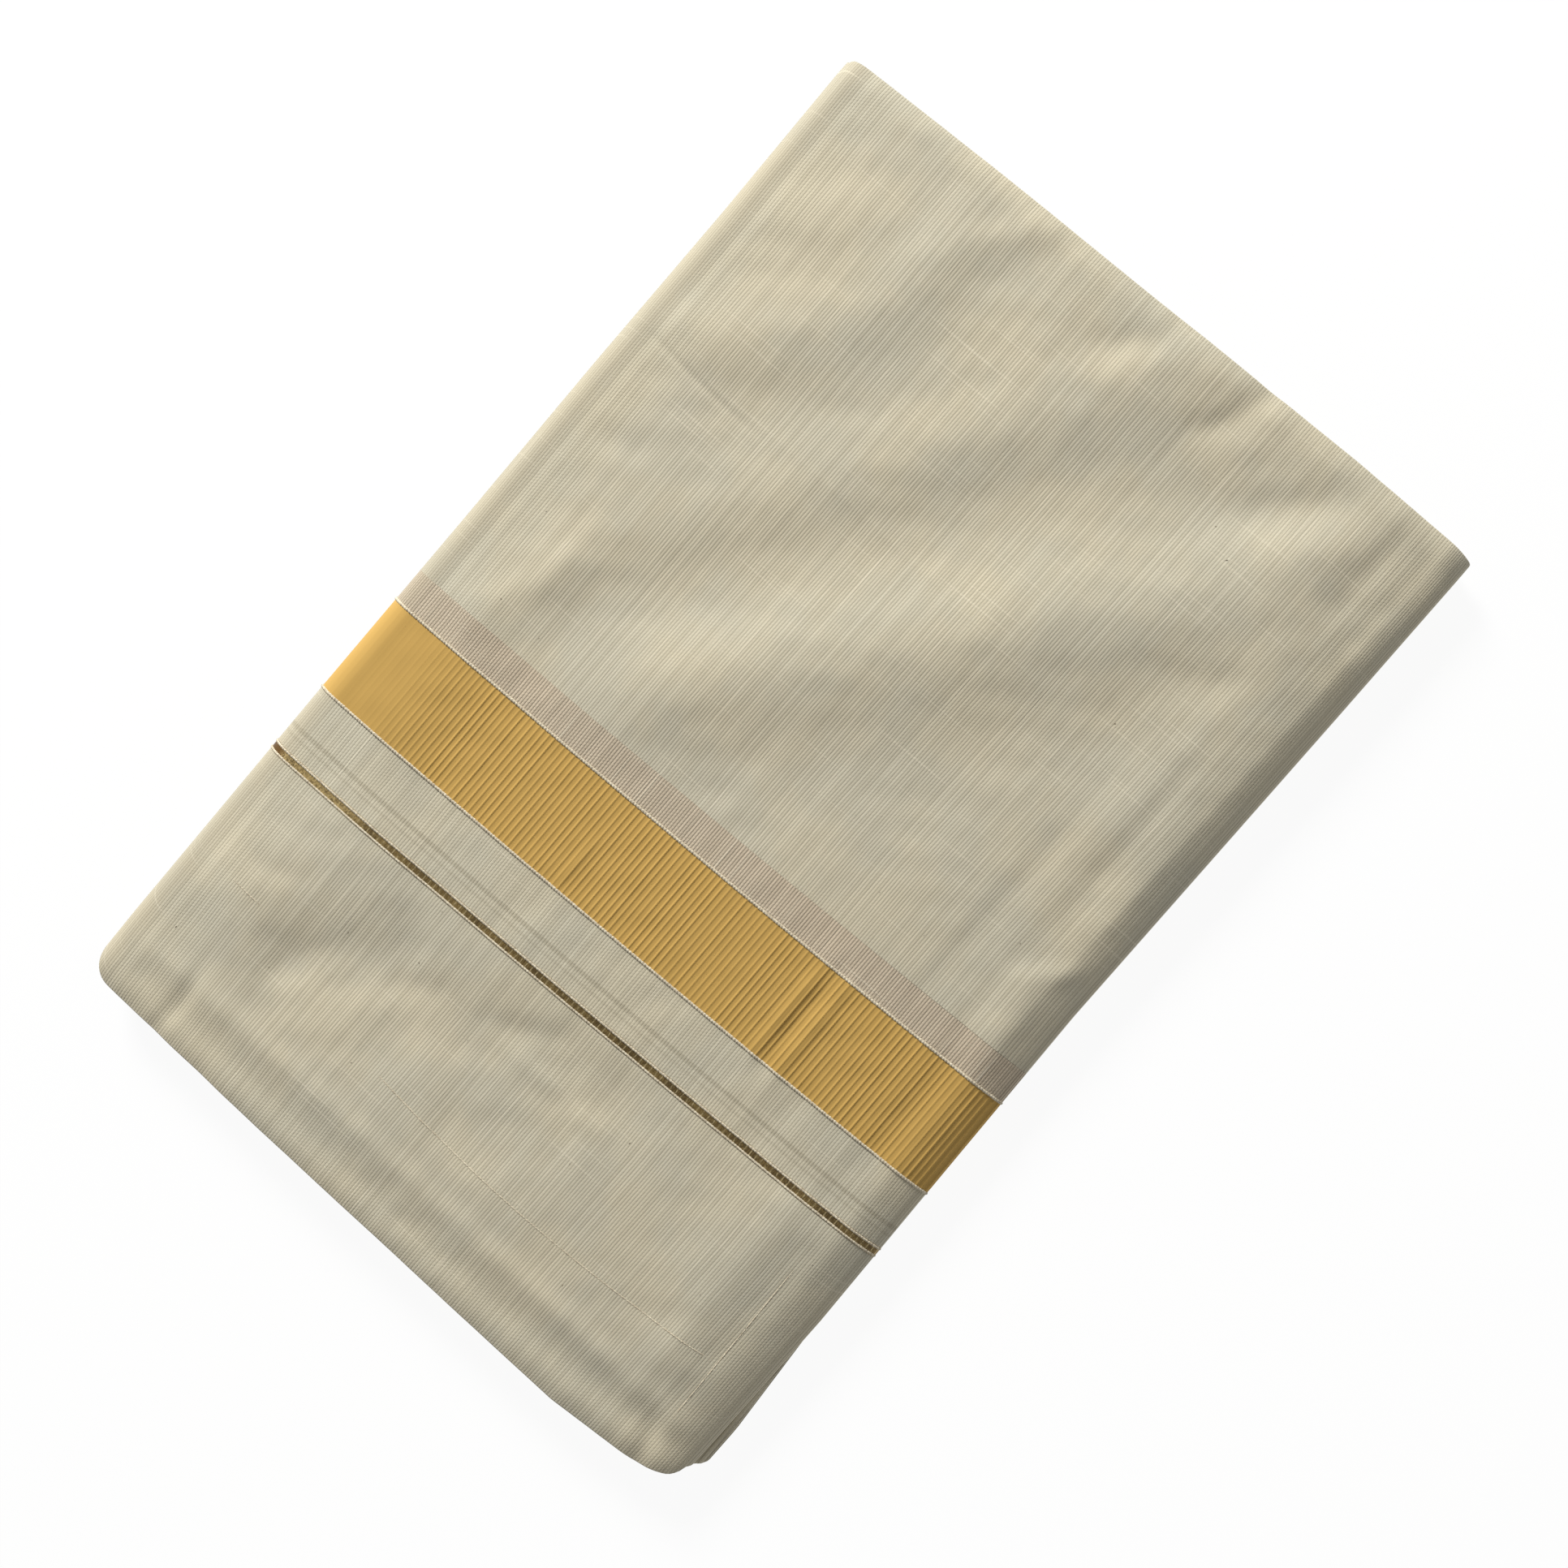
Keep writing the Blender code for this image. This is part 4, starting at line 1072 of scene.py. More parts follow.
def cord_tree() -> bpy.types.NodeTree:
    """Builds the tree that lays a beaded cord along each line of a mesh."""
    graph = Graph.group(
        "beaded_cord",
        "GeometryNodeTree",
        [
            ("Geometry", "NodeSocketGeometry", None),
            ("Radius", "NodeSocketFloat", 0.0004),
            ("Bead Pitch", "NodeSocketFloat", 0.001),
            ("Bead Depth", "NodeSocketFloat", 0.1),
            ("Sides", "NodeSocketInt", 8),
            ("Unevenness", "NodeSocketFloat", 0.1),
            ("Seed", "NodeSocketInt", 1),
            ("Material", "NodeSocketMaterial", None),
        ],
        [("Geometry", "NodeSocketGeometry")],
    )
    curve = graph.node("GeometryNodeMeshToCurve", {0: graph.given("Geometry")}).outputs[0]
    length = graph.node("GeometryNodeSplineParameter").outputs["Length"]
    position = graph.math("DIVIDE", length, graph.given("Bead Pitch"))
    wave = graph.math("COSINE", graph.math("MULTIPLY", position, 2 * math.pi))
    least = graph.math("SUBTRACT", 1.0, graph.given("Unevenness"))
    bead = graph.node(
        "FunctionNodeRandomValue",
        {2: least, 3: 1.0, "ID": graph.math("FLOOR", position), "Seed": graph.given("Seed")},
    )
    swell = graph.math("MULTIPLY_ADD", wave, graph.given("Bead Depth"), bead.outputs[1])
    profile = graph.node(
        "GeometryNodeCurvePrimitiveCircle",
        {"Resolution": graph.given("Sides"), "Radius": graph.given("Radius")},
    )
    tube = graph.node(
        "GeometryNodeCurveToMesh",
        {0: curve, 1: profile.outputs[0], "Scale": swell, "Fill Caps": True},
    )
    return finish_tree(graph, tube.outputs[0], shade=True)


def fleck_tree() -> bpy.types.NodeTree:
    """Builds the tree that scatters small flecks over a cloth's outer skin."""
    graph = Graph.group(
        "scattered_flecks",
        "GeometryNodeTree",
        [
            ("Geometry", "NodeSocketGeometry", None),
            ("Per Square Metre", "NodeSocketFloat", 500.0),
            ("Size", "NodeSocketVector", (1, 1, 1)),
            ("Least Size", "NodeSocketFloat", 0.4),
            ("Seed", "NodeSocketInt", 1),
            ("Material", "NodeSocketMaterial", None),
        ],
        [("Geometry", "NodeSocketGeometry")],
    )
    points = graph.node(
        "GeometryNodeDistributePointsOnFaces",
        {0: graph.given("Geometry"), "Density": graph.given("Per Square Metre"), "Seed": graph.given("Seed")},
    )
    grain = graph.node("GeometryNodeMeshIcoSphere", {"Radius": 1.0, "Subdivisions": 1}).outputs[0]
    own = graph.node(
        "FunctionNodeRandomValue", {2: graph.given("Least Size"), 3: 1.0, "Seed": graph.given("Seed")}
    )
    size = graph.node(
        "ShaderNodeVectorMath", {0: graph.given("Size"), "Scale": own.outputs[1]}, operation="SCALE"
    )
    placed = graph.node(
        "GeometryNodeInstanceOnPoints",
        {0: points.outputs[0], "Instance": grain, "Rotation": points.outputs[2], "Scale": size.outputs[0]},
    )
    return finish_tree(graph, placed.outputs[0], shade=True)


@dataclass
class ClothStretch:
    """One stretch of the outermost strip, between two lines across it."""

    node: str
    near: Line
    far: Line
    finish: Finish
    row_step: float = 0.0015
    close_rows: tuple[float, ...] = ()
    top_points: int = 195
    slope_points: int = 18
    fold_points: int = 13
    under_points: int = 32
    folded_end: str = ""
    edge_round: float = 0.0004
    edge_pinch: float = 0.3
    wall: float = FORM.wall
    least_sheet: float = 0.01
    carries: tuple[str, ...] = ()

    @property
    def middle_y(self) -> float:
        """Y of the stretch's middle on the centre line."""
        zero, one = np.zeros(1), np.ones(1)
        return float((self.near(zero, one) + self.far(zero, one))[0] / 2)

    def length(self) -> float:
        """Returns the stretch's length along the centre line."""
        zero, one = np.zeros(1), np.ones(1)
        return float((self.far(zero, one) - self.near(zero, one))[0])

    def path_places(self) -> np.ndarray:
        """Returns u of each point round the strip."""
        counts = {
            Zone.LEG: 5,
            Zone.RIGHT_LOWER: self.fold_points,
            Zone.RIGHT_UPPER: self.slope_points,
            Zone.TOP: self.top_points,
            Zone.LEFT_UPPER: self.fold_points,
            Zone.LEFT_LOWER: self.fold_points,
            Zone.UNDERSIDE: self.under_points,
        }
        parts = [np.linspace(z.value, z.value + 1, n + 1)[1:] for z, n in counts.items()]
        return np.concatenate([[0.0], *parts])

    def shares(self) -> np.ndarray:
        """Returns the rows of the stretch, with close ones at its folded end."""
        count = max(3, round(self.length() / self.row_step))
        shares = np.linspace(0.0, 1.0, count + 1)
        if self.close_rows:
            zero, one = np.zeros(1), np.ones(1)
            low, high, step = self.close_rows
            start = float(self.near(zero, one)[0])
            rows = (np.arange(low, high, step) - start) / self.length()
            shares = np.concatenate([shares[(shares < rows[0]) | (shares > rows[-1])], rows])
        if self.folded_end:
            close = np.array([0.25, 0.5, 1.0, 1.6]) * self.edge_round / self.length()
            close = close if self.folded_end == "near" else 1 - close
            shares = np.sort(np.concatenate([shares, close]))
        return shares

    def pinch(self, share: float) -> float:
        """Returns how far both skins draw in at a row, to round the folded edge."""
        if not self.folded_end:
            return 0.0
        from_end = (share if self.folded_end == "near" else 1 - share) * self.length()
        closeness = max(0.0, 1 - from_end / self.edge_round)
        return self.edge_pinch * self.wall * (1 - math.sqrt(max(0.0, 1 - closeness**2)))

    def skin(self, u: np.ndarray, shares: np.ndarray, outs: Sequence[float]) -> Grid:
        """Makes rows of points at a distance from the strip's outer face."""
        middle = np.full(u.shape, self.middle_y)
        for _ in range(2):
            x, z = FORM.path(u, middle)
            y_near, y_far = (line(x, z / FORM.height) for line in (self.near, self.far))
            middle = (y_near + y_far) / 2
        rows = []
        for share, out in zip(shares, outs):
            rows.append(FORM.points(u, mix(y_near, y_far, share), out))
        return rows

    def mesh(self) -> bpy.types.Mesh:
        """Makes the stretch's shell."""
        u, shares = self.path_places(), self.shares()
        pinches = [self.pinch(share) for share in shares]
        outer = self.skin(u, shares, [-p for p in pinches])
        inner = self.skin(u, shares, [p - self.wall for p in pinches])
        start = self.middle_y - self.length() / 2
        v = start + shares * self.length()
        mesh = shell_mesh(self.node + "_cloth", outer, inner, (FORM.run(u, self.middle_y), v, v))
        turn_outwards(mesh)
        return mesh

    def dress(self, obj: bpy.types.Object) -> None:
        """Gives the stretch its material and its shading."""
        obj.data.materials.clear()
        obj.data.materials.append(bpy.data.materials[self.finish.name])
        obj.data.shade_smooth()
        obj.data.set_sharp_from_angle(angle=SHARP_ANGLE)

    def build(self) -> bpy.types.Object:
        """Makes the piece, dresses it, and puts it in the place of its node."""
        obj = place(self.node + "_cloth", self.mesh())
        self.dress(obj)
        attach(obj, "root")
        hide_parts(self.node)
        return obj

    def declare(self) -> None:
        """Works out the stretch's girth and flat length and lists the pieces it carries, such as the narrow
        gold line, but keeps none of it; stretches shorter than the least sheet are skipped.
        """
        if self.length() < self.least_sheet:
            return
        round(FORM.girth(self.middle_y), 3)
        round(self.length(), 4)
        list(self.carries)


@dataclass
class RibbedBand(ClothStretch):
    """The wide gold band, whose outer skin is raised in ribs."""

    rib_pitch: float = 0.0021
    rib_height: float = 0.00026
    rib_crispness: float = 4.0
    rib_unevenness: float = 0.45
    points_per_rib: int = 10
    left_fade: tuple[float, float] = (-0.112, -0.082)
    left_lift: float = 0.10
    seed: int = 5

    def path_places(self) -> np.ndarray:
        """Returns u of each point round the strip: close ones for the ribs, few on the underside."""
        fine = np.linspace(0, Zone.UNDERSIDE.value, 4001)
        run = FORM.run(fine, self.middle_y)
        ribs = (run[-1] - run[0]) / self.rib_pitch
        steps = np.linspace(run[0], run[-1], round(ribs * self.points_per_rib) + 1)
        under = np.linspace(Zone.UNDERSIDE.value, FORM.zones, self.under_points + 1)[1:]
        return np.concatenate([np.interp(steps, run, fine), under])

    def shares(self) -> np.ndarray:
        """Returns even rows."""
        return np.linspace(0.0, 1.0, 17)

    def mesh(self) -> bpy.types.Mesh:
        """Makes the shell, and says where its ribs may rise."""
        mesh = super().mesh()
        points = np.empty(len(mesh.vertices) * 3)
        mesh.vertices.foreach_get("co", points)
        x, _, z = points.reshape(-1, 3).T
        lift = np.empty(len(mesh.vertices))
        mesh.attributes["lift"].data.foreach_get("value", lift)
        left = smooth((x - self.left_fade[0]) / (self.left_fade[1] - self.left_fade[0]))
        above = smooth((z - 0.001) / 0.003)
        lift = lift * mix(self.left_lift, 1.0, left) * above
        mesh.attributes["lift"].data.foreach_set("value", lift.astype(np.float32))
        return mesh

    def dress(self, obj: bpy.types.Object) -> None:
        """Raises the ribs, then gives the band its material and shading."""
        bake_nodes(
            obj,
            bpy.data.node_groups["raised_ribs"],
            {
                "Pitch": self.rib_pitch,
                "Height": self.rib_height,
                "Crispness": self.rib_crispness,
                "Unevenness": self.rib_unevenness,
                "Seed": self.seed,
                "Material": bpy.data.materials[self.finish.name],
            },
        )
        super().dress(obj)


@dataclass
class LaidCords:
    """Beaded cords that lie on the cloth, made as one piece along their lines."""

    name: str
    radius: float
    sink: float
    bead_depth: float
    seed: int
    unevenness: float = 0.1
    bead_pitch: float = 0.00102
    points_per_bead: int = 4

    def rails(self) -> list[np.ndarray]:
        """Returns the points of each cord's line."""
        raise NotImplementedError

    def build(self) -> bpy.types.Object:
        """Makes the cords as one piece."""
        points, edges = [], []
        for rail in self.rails():
            edges += [(len(points) + i, len(points) + i + 1) for i in range(len(rail) - 1)]
            points += rail.tolist()
        mesh = bpy.data.meshes.new(self.name)
        mesh.from_pydata(points, edges, [])
        obj = place(self.name, mesh)
        bake_nodes(
            obj,
            bpy.data.node_groups["beaded_cord"],
            {
                "Radius": self.radius,
                "Bead Pitch": self.bead_pitch,
                "Bead Depth": self.bead_depth,
                "Unevenness": self.unevenness,
                "Seed": self.seed,
                "Material": bpy.data.materials[CREAM_CORD.name],
            },
        )
        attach(obj, "root")
        return obj


@dataclass
class EdgeCords(LaidCords):
    """Cream cords that edge the gold stripes, raised a little over the cloth."""

    lines: tuple[float, ...] = ()
    first: float = 1.0
    last: float = 5.9

    def rails(self) -> list[np.ndarray]:
        """Returns the points of each cord, round the strip along its woven line."""
        return [self.rail(y) for y in self.lines]

    def rail(self, y: float) -> np.ndarray:
        """Returns the points of one cord's line."""
        fine = np.linspace(self.first, self.last, 4001)
        run = FORM.run(fine, y)
        steps = round((run[-1] - run[0]) / self.bead_pitch * self.points_per_bead)
        u = np.interp(np.linspace(run[0], run[-1], steps + 1), run, fine)
        x, _ = FORM.path(u, np.full(u.shape, y))
        return FORM.points(u, y + STRIPES.drift(x), -self.sink)


@dataclass(frozen=True)
class Thread:
    """A thick thread that stands proud of the cloth, along a bent line."""

    name: str
    start: tuple[float, float]
    end: tuple[float, float]
    bow: float


@dataclass
class ProudThreads(LaidCords):
    """Slub threads that show as pale lines on the top, and sink into it at their ends."""

    threads: tuple[Thread, ...] = (
        Thread("long_slub", (-0.038, -0.1508), (0.1125, -0.1500), bow=0.0050),
        Thread("left_slub", (-0.1150, -0.1335), (-0.0890, -0.1350), bow=0.0004),
        Thread("right_slub", (0.1085, -0.1050), (0.1095, -0.1780), bow=0.0004),
    )
    end_run: float = 0.012

    def rails(self) -> list[np.ndarray]:
        """Returns the points of each thread."""
        return [self.rail(thread) for thread in self.threads]

    def rail(self, thread: Thread) -> np.ndarray:
        """Returns the points of one thread on the top face."""
        (x0, y0), (x1, y1) = thread.start, thread.end
        length = math.hypot(x1 - x0, y1 - y0)
        t = np.linspace(0, 1, round(length / self.bead_pitch * self.points_per_bead) + 1)
        y = y0 + (y1 - y0) * t - thread.bow * 4 * t * (1 - t)
        x = x0 + (x1 - x0) * t
        ends = np.minimum(t, 1 - t) * length
        sink = self.sink + self.radius * (1 - smooth(ends / self.end_run))
        return FORM.points(FORM.place_on_top(x, y), y, -sink)


@dataclass
class SeedFlecks:
    """Dark flecks of cotton seed caught in the cloth."""

    name: str = "seed_flecks"
    per_square_metre: float = 420.0
    size: tuple[float, float, float] = (0.00042, 0.00016, 0.00009)
    seed: int = 21

    def build(self) -> bpy.types.Object:
        """Scatters the flecks over the top face."""
        x = np.linspace(-0.116, 0.112, 58)
        rows = np.linspace(-0.180, 0.186, 92)
        points = []
        for y in rows:
            level = np.full(x.shape, y)
            points += FORM.points(FORM.place_on_top(x, level), level, 0.00002).tolist()
        count = len(x)
        faces = []
        for row in range(len(rows) - 1):
            in_band = STRIPES.line_near < rows[row] < STRIPES.open_weave_far
            for i in range(0 if in_band else count - 1):
                base = row * count + i
                faces.append((base, base + 1, base + count + 1, base + count))
        mesh = bpy.data.meshes.new(self.name)
        mesh.from_pydata(points, [], faces)
        obj = place(self.name, mesh)
        bake_nodes(
            obj,
            bpy.data.node_groups["scattered_flecks"],
            {
                "Per Square Metre": self.per_square_metre,
                "Size": self.size,
                "Seed": self.seed,
                "Material": bpy.data.materials[SPECK.name],
            },
        )
        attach(obj, "root")
        return obj


@dataclass(frozen=True)
class Bundle:
    """Lower strips that end together at the right, as shares of the inside height."""

    low: float
    high: float
    back: float
    depth: float


@dataclass
class HiddenLayers:
    """The hidden strips: nested folded edges, each of several thicknesses of cloth."""

    name: str = "hidden_layers_cloth"
    strips_below: int = 7
    strips_above: int = 6
    thicknesses: int = 3
    lip_depth: float = 0.0006
    fine_depth: float = 0.00022
    sway: float = 0.0006
    sway_turn: float = 2.4
    sway_start: float = 0.7
    point_step: float = 0.003
    least_corner: float = 0.003
    cover_rings: int = 14
    allowance_back: float = 0.0012
    crests: tuple[float, ...] = (0.12, 0.32, 0.68, 0.88)
    bundles: tuple[Bundle, ...] = field(default_factory=tuple)

    def __post_init__(self) -> None:
        """Sets out the bundles at the right from the number of strips."""
        each = FORM.split_low / self.strips_below
        self.bundles = (
            Bundle(0.0, each, back=0.0006, depth=0.0004),
            Bundle(each, each * 3, back=0.0014, depth=0.0012),
            Bundle(each * 3, FORM.split_low, back=0.0, depth=0.0030),
        )

    @staticmethod
    def round_off(from_middle: float) -> float:
        """Returns how far a round edge draws back, 0 at its middle and 1 at its top and bottom."""
        return 1 - math.sqrt(max(0.0, 1 - from_middle**2))

    def right_edge(self, share: float, y: np.ndarray) -> np.ndarray:
        """Returns X of the right edge at a share of the inside height."""
        upper, lower = FORM.edge_at("upper_right", y), FORM.edge_at("lower_right", y)
        inside = FORM.wall + FORM.side_clearance
        if FORM.split_low <= share <= FORM.split_high:
            return upper - FORM.leg_reach - FORM.gap
        if share > FORM.right_widest_inside:
            above = min(1.0, (share - FORM.right_widest_inside) / (1 - FORM.right_widest_inside))
            curve = FORM.right_slope_curve
            drawn = 1 - (1 - above**curve) ** (1 / curve)
            return upper - inside - (FORM.edge_at("right_reach", y) - inside + FORM.gap) * drawn
        if share > FORM.split_high:
            below = (FORM.right_widest_inside - share) / (FORM.right_widest_inside - FORM.split_high)
            return upper - inside - (FORM.right_fold_low - inside + FORM.gap) * self.round_off(below)
        bundle = next(b for b in self.bundles if share <= b.high)
        from_middle = 2 * (share - bundle.low) / (bundle.high - bundle.low) - 1
        return lower - bundle.back - bundle.depth * self.round_off(from_middle)

    def left_edge(self, share: float, y: np.ndarray) -> np.ndarray:
        """Returns X of the left edge, inside the last fold."""
        from_middle = 2 * share - 1
        fold = FORM.left_fold_up if from_middle > 0 else FORM.left_fold_low
        inside = FORM.wall + FORM.side_clearance
        return FORM.edge_at("left", y) + inside + (fold - inside + FORM.gap) * self.round_off(from_middle)

    def corner(self, side: str, end: str, reverse: bool) -> list[tuple[float, float]]:
        """Returns places on one round corner of the plan, as shares across and along."""
        radius = max(self.least_corner, next(c.radius for c in CORNERS if c.side == side and c.end == end))
        length = STATIONS[-1].y - STATIONS[0].y
        turns = np.linspace(0, math.pi / 2, 6)
        places = []
        for turn in turns[::-1] if reverse else turns:
            across = radius / FORM.width * (1 - math.cos(turn))
            along = radius / length * (1 - math.sin(turn))
            places.append((across if side == "left" else 1 - across, along if end == "near" else 1 - along))
        return places

    def plan(self) -> np.ndarray:
        """Returns the places round the plan, as shares across and along."""
        near, far = STATIONS[0].y, STATIONS[-1].y
        across = np.linspace(0.0, 1.0, round(FORM.width / self.point_step))[3:-3]
        rows = np.linspace(near, far, round((far - near) / self.point_step))[4:-4]
        edges = [
            STRIPES.open_weave_far,
            STRIPES.band_far,
            STRIPES.band_near,
            STRIPES.line_far,
            STRIPES.line_near,
        ]
        rows = np.array([y for y in rows if min(abs(y - e) for e in edges) > self.point_step / 2] + edges)
        along = (np.sort(rows) - near) / (far - near)
        return np.array(
            [
                *self.corner("left", "near", reverse=False),
                *((place, 0.0) for place in across),
                *self.corner("right", "near", reverse=True),
                *((1.0, place) for place in along),
                *self.corner("right", "far", reverse=False),
                *((place, 1.0) for place in across[::-1]),
                *self.corner("left", "far", reverse=True),
                *((0.0, place) for place in along[::-1]),
            ]
        )

    def ring(self, share: float, draw_back: float, shrink: float = 0.0) -> np.ndarray:
        """Makes one closed ring of points.

        Args:
            share: its level, as a share of the inside height.
            draw_back: how far it lies in from the folded ends and sides.
            shrink: how far it closes over the top, from 0 to 1.

        Returns:
            Its points.
        """
        across, along = self.plan().T
        across, along = (mix(each, 0.5, shrink) for each in (across, along))
        y = mix(STATIONS[0].y, STATIONS[-1].y, along)
        for _ in range(2):
            left = self.left_edge(share, y) + draw_back * 0.5
            right = self.right_edge(share, y) - draw_back * 0.5
            x = mix(left, right, across)
            near, far = FORM.fold_line_at("near", x, share), FORM.fold_line_at("far", x, share)
            y = mix(near + draw_back, far - draw_back, along)
        upper = smooth(np.array((share - FORM.split_high) / (1 - FORM.split_high)))
        risen = (self.allowance_back + FORM.relief(x, y)) * FORM.still(x, y)
        z = FORM.inside_level(share, x, y) + upper * risen
        return np.stack([x, y, z], axis=-1)

    def rings(self) -> Grid:
        """Makes all the rings from the bottom to the middle of the top."""
        below = np.linspace(0.0, FORM.split_low, self.strips_below + 1)
        above = np.linspace(FORM.split_high, 1.0, self.strips_above + 1)
        levels = np.concatenate([below, above])
        rings = []
        for index, (low, high) in enumerate(zip(levels, levels[1:])):
            sway = self.sway * (1 + math.sin(self.sway_turn * index + self.sway_start))
            for fine in range(self.thicknesses):
                share = fine / self.thicknesses
                edge = self.lip_depth if fine == 0 else self.fine_depth
                rings.append(self.ring(mix(low, high, share), edge + sway))
                for crest in self.crests:
                    level = share + crest / self.thicknesses
                    round_back = self.fine_depth * abs(2 * crest - 1) ** 2
                    rings.append(self.ring(mix(low, high, level), round_back + sway))
        rings.append(self.ring(1.0, self.lip_depth + self.sway))
        for shrink in np.linspace(0.0, 1.0, self.cover_rings + 1)[1:-1]:
            rings.append(self.ring(1.0, FORM.end_run, float(shrink)))
        return rings

    def mesh(self) -> bpy.types.Mesh:
        """Makes the closed body, with the stripes' colours on its folds."""
        rings = self.rings()
        count = len(rings[0])
        faces = []
        for row in range(len(rings) - 1):
            for i in range(count):
                on = (i + 1) % count
                base = row * count
                faces.append((base + i, base + on, base + count + on, base + count + i))
        faces.append(tuple(range(count))[::-1])
        last = (len(rings) - 1) * count
        faces.append(tuple(range(last, last + count)))
        mesh = bpy.data.meshes.new(self.name)
        mesh.from_pydata(np.concatenate(rings).tolist(), [], faces)
        turn_outwards(mesh)
        corner = np.empty(len(mesh.loops), np.int32)
        mesh.loops.foreach_get("vertex_index", corner)
        points = np.concatenate(rings)
        uv = mesh.uv_layers.new(name=UV_NAME)
        run = points[:, 0] + points[:, 2]
        places = np.stack([run[corner], points[corner, 1]], axis=-1)
        uv.data.foreach_set("uv", places.astype(np.float32).ravel())
        return mesh

    def paint(self, mesh: bpy.types.Mesh) -> None:
        """Gives each face the finish of the stripe that it lies in."""
        finishes = (LAYER_COTTON, OPEN_WEAVE, ZARI, ZARI_LINE)
        for finish in finishes:
            mesh.materials.append(bpy.data.materials[finish.name])
        stripes = (
            (1, STRIPES.band_far, STRIPES.open_weave_far),
            (2, STRIPES.band_near, STRIPES.band_far),
            (3, STRIPES.line_near, STRIPES.line_far),
        )
        for face in mesh.polygons:
            y = face.center.y
            face.material_index = next((index for index, low, high in stripes if low < y < high), 0)

    def build(self) -> bpy.types.Object:
        """Makes the piece and puts it in the place of its node."""
        obj = place(self.name, self.mesh())
        self.paint(obj.data)
        obj.data.shade_smooth()
        obj.data.set_sharp_from_angle(angle=math.radians(70))
        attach(obj, "root")
        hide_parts("inner_layers")
        return obj


@dataclass(frozen=True)
class Studio:
    """The pale floor, the soft light and the camera above the pack."""

    camera_place: tuple[float, float, float] = (0.0579, 0.0267, 0.6993)
    camera_turn: tuple[float, float, float] = (1.13, 4.47, 39.97)
    lens: float = 50.0
    sensor: float = 36.0
    floor_size: float = 4.0
    floor_drop: float = 0.0004
    floor_glow: float = 0.93
    floor_albedo: float = 0.07
    zenith: float = 0.10
    horizon: float = 0.66
    ambient: float = 0.29
    key_from: tuple[float, float] = (-0.86, 0.51)
    key_elevation: float = 27.0
    key_distance: float = 2.4
    key_size: float = 0.7

    def floor(self) -> None:
        """Lays the floor, which glows a little so that it stays white."""
        half = self.floor_size / 2
        mesh = bpy.data.meshes.new("floor")
        corners = [(-half, -half), (half, -half), (half, half), (-half, half)]
        mesh.from_pydata([(x, y, -self.floor_drop) for x, y in corners], [], [(0, 1, 2, 3)])
        obj = place("floor", mesh)
        material = bpy.data.materials.new("pale_floor")
        material.use_nodes = True
        graph = Graph(material.node_tree)
        matt = graph.node("ShaderNodeBsdfDiffuse", {"Color": (*(self.floor_albedo,) * 3, 1.0)})
        glow = graph.node("ShaderNodeEmission", {"Color": (1, 1, 1, 1), "Strength": self.floor_glow})
        both = graph.node("ShaderNodeAddShader", {0: matt.outputs[0], 1: glow.outputs[0]})
        graph.node("ShaderNodeOutputMaterial", {"Surface": both.outputs[0]})
        mesh.materials.append(material)
        obj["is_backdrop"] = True

    def light(self) -> None:
        """Sets the even sky light and the one soft light from the far left."""
        world = bpy.data.worlds.new("even_sky")
        world.use_nodes = True
        graph = Graph(world.node_tree)
        direction = graph.node("ShaderNodeTexCoord").outputs["Generated"]
        up = graph.math("MAXIMUM", graph.node("ShaderNodeSeparateXYZ", {0: direction}).outputs[2], 0.0)
        strength = graph.math("MULTIPLY_ADD", up, self.zenith - self.horizon, self.horizon)
        sky = graph.node("ShaderNodeBackground", {"Color": (1, 1, 1, 1), "Strength": strength})
        graph.node("ShaderNodeOutputWorld", {"Surface": sky.outputs[0]})
        bpy.context.scene.world = world
        rise = math.radians(self.key_elevation)
        across = Vector((*self.key_from, 0.0)).normalized() * math.cos(rise)
        towards = across + Vector((0, 0, math.sin(rise)))
        lamp = bpy.data.lights.new("key", "AREA")
        lamp.shape = "SQUARE"
        lamp.size = self.key_size
        lamp.color = (1.0, 0.985, 0.955)
        lamp.energy = (1 - self.ambient) * math.pi**2 * self.key_distance**2 / math.sin(rise)
        obj = bpy.data.objects.new("key", lamp)
        obj.location = towards * self.key_distance
        obj.rotation_euler = (-towards).to_track_quat("-Z", "Y").to_euler()
        bpy.context.scene.collection.objects.link(obj)

    def camera(self) -> None:
        """Hangs the camera over the pack and turns it as the photograph is turned."""
        data = bpy.data.cameras.new("camera")
        data.lens = self.lens
        data.sensor_width = self.sensor
        data.clip_start = 0.01
        obj = bpy.data.objects.new("camera", data)
        obj.location = self.camera_place
        obj.rotation_euler = Euler([math.radians(turn) for turn in self.camera_turn])
        bpy.context.scene.collection.objects.link(obj)
        bpy.context.scene.camera = obj

    def build(self) -> None:
        """Sets up everything around the pack."""
        self.camera()
        self.floor()
        self.light()
        bpy.context.scene.view_settings.view_transform = "Standard"


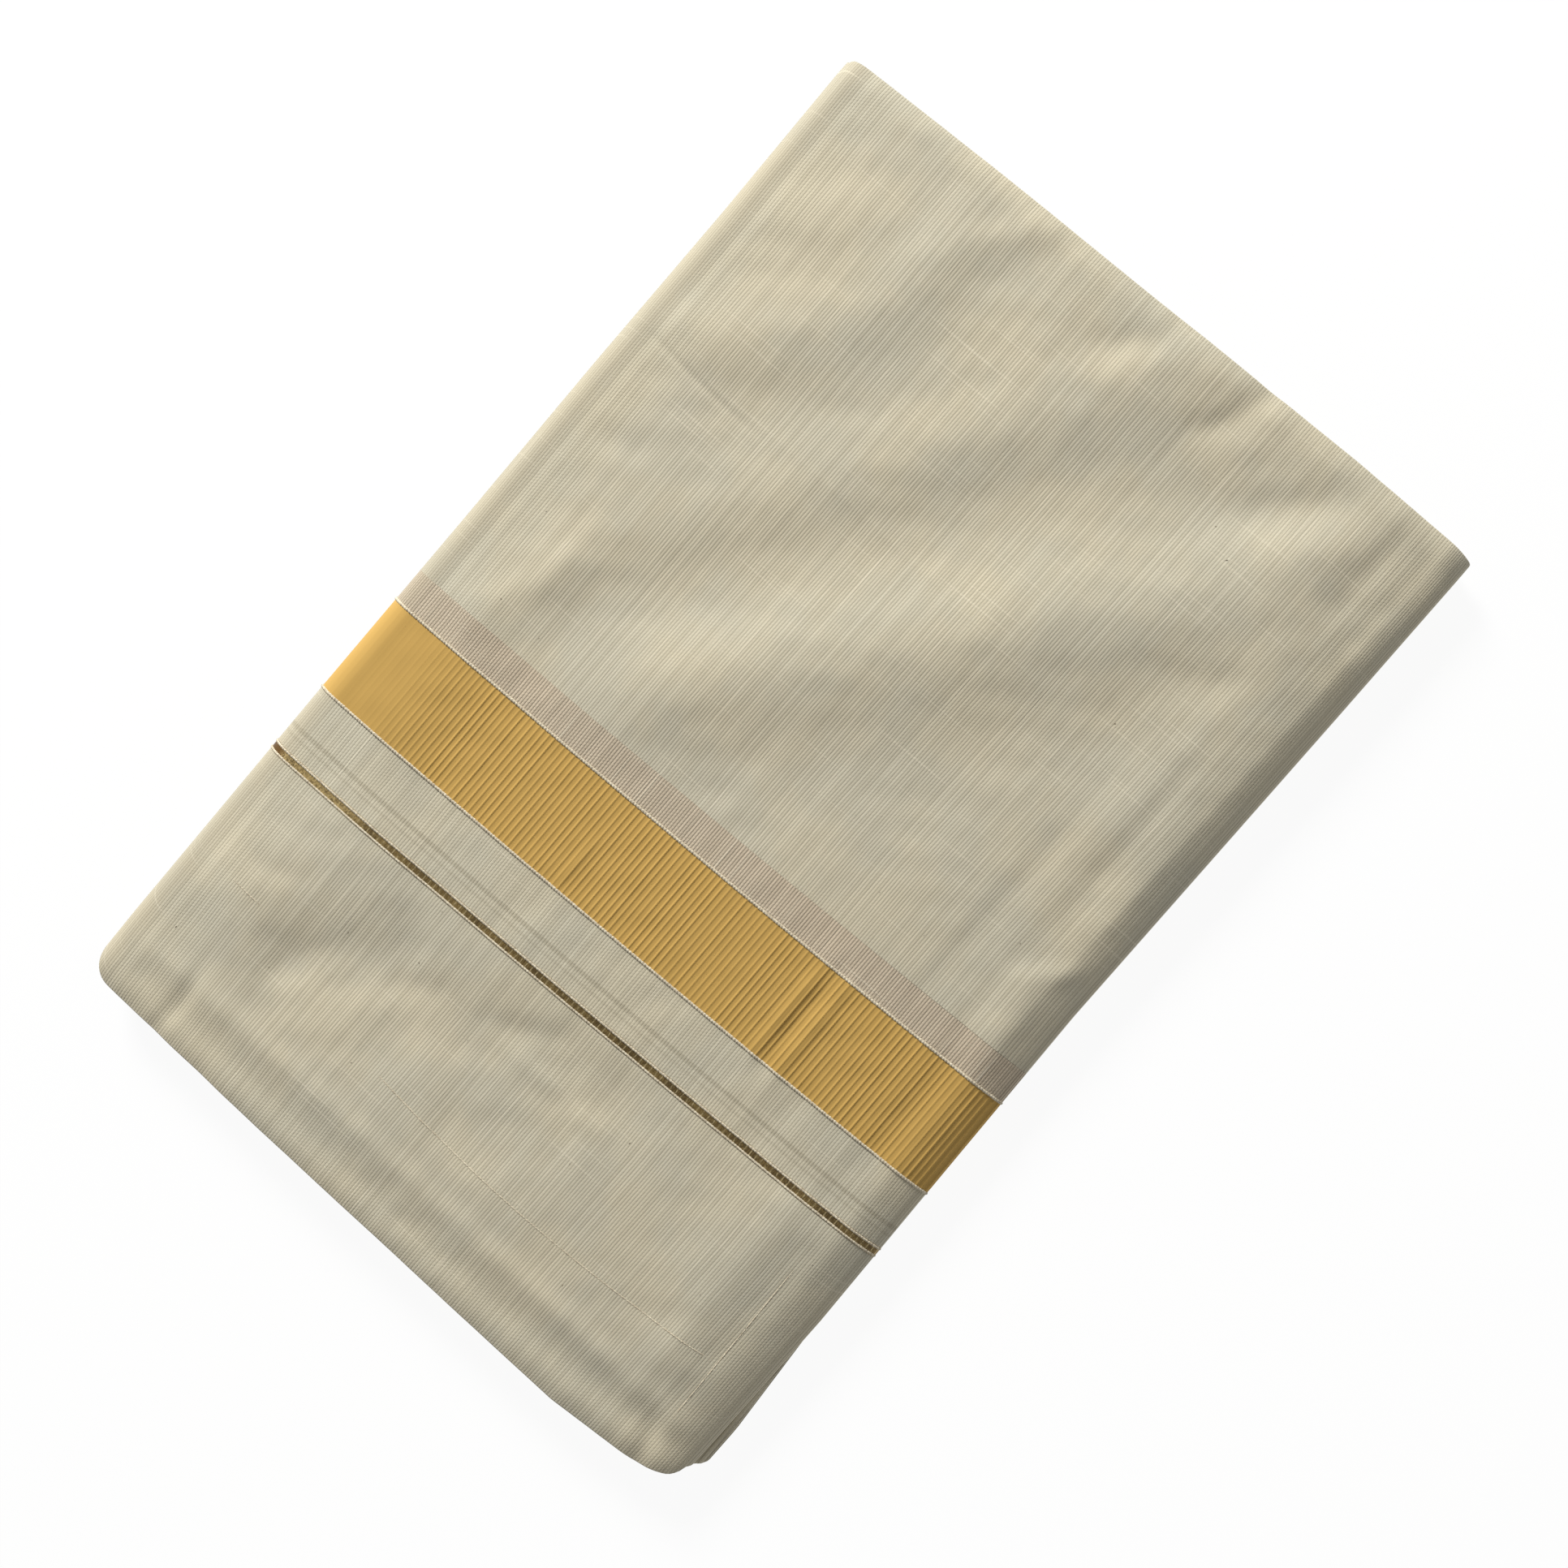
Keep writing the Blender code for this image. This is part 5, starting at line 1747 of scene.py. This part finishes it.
@dataclass
class FoldedDhoti:
    """The whole pack, piece by piece."""

    stretches: list[ClothStretch] = field(default_factory=list)

    def __post_init__(self) -> None:
        """Sets out the stretches from the far end to the near one."""
        line = STRIPES.line
        self.stretches = [
            ClothStretch(
                "upper_panel",
                line(STRIPES.open_weave_far),
                end_line("far"),
                COTTON,
                folded_end="far",
                close_rows=(0.0765, 0.0910, 0.0007),
                carries=("seed_flecks",),
            ),
            ClothStretch(
                "open_weave_strip", line(STRIPES.band_far), line(STRIPES.open_weave_far), OPEN_WEAVE
            ),
            RibbedBand(
                "zari_band", line(STRIPES.band_near), line(STRIPES.band_far), ZARI, carries=("band_cords",)
            ),
            ClothStretch(
                "border_gap",
                line(STRIPES.line_far),
                line(STRIPES.band_near),
                GAP_COTTON,
                carries=("zari_line_cloth", "line_cords"),
            ),
            ClothStretch(
                "zari_line", line(STRIPES.line_near), line(STRIPES.line_far), ZARI_LINE, row_step=0.0008
            ),
            ClothStretch(
                "lower_panel",
                end_line("near"),
                line(STRIPES.line_near),
                COTTON,
                folded_end="near",
                carries=("slub_threads",),
            ),
        ]

    def build(self) -> list[bpy.types.Object]:
        """Builds every piece.

        Returns:
            The pieces.
        """
        line_cord_inset = 0.0005
        pieces = [stretch.build() for stretch in self.stretches]
        pieces.append(HiddenLayers().build())
        pieces.append(
            EdgeCords(
                "band_cords",
                radius=0.00055,
                sink=0.0001,
                bead_depth=0.14,
                seed=3,
                lines=(STRIPES.band_far, STRIPES.band_near),
            ).build()
        )
        pieces.append(
            EdgeCords(
                "line_cords",
                radius=0.00045,
                sink=0.0001,
                bead_depth=0.14,
                seed=4,
                lines=(STRIPES.line_far - line_cord_inset, STRIPES.line_near + line_cord_inset),
            ).build()
        )
        pieces.append(
            ProudThreads(
                "slub_threads", radius=0.0003, sink=0.00012, bead_depth=0.15, seed=9, unevenness=0.35
            ).build()
        )
        pieces.append(SeedFlecks().build())
        for stretch in self.stretches:
            stretch.declare()
        return pieces


def build_groups() -> None:
    """Builds the shared node groups and every finish."""
    for make in (weave_group, mottle_group, rib_tree, cord_tree, fleck_tree):
        make()
    for finish in (COTTON, GAP_COTTON, OPEN_WEAVE, ZARI, ZARI_LINE, CREAM_CORD, SPECK, LAYER_COTTON):
        finish.build()


def corners(box: tuple[Vector, Vector]) -> list[list[float]]:
    """Returns a box's two corners as plain lists."""
    return [list(corner) for corner in box]


def main() -> None:
    """Builds the pack's looks around the frame, and the studio."""
    logging.basicConfig(level=logging.INFO)
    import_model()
    cad_box = corners(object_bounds())
    build_groups()
    for piece in FoldedDhoti().build():
        log.info("%s: %d faces", piece.name, len(piece.data.polygons))
    Studio().build()
    {"cad": cad_box, "visual": corners(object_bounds())}


if __name__ == "__main__":
    main()
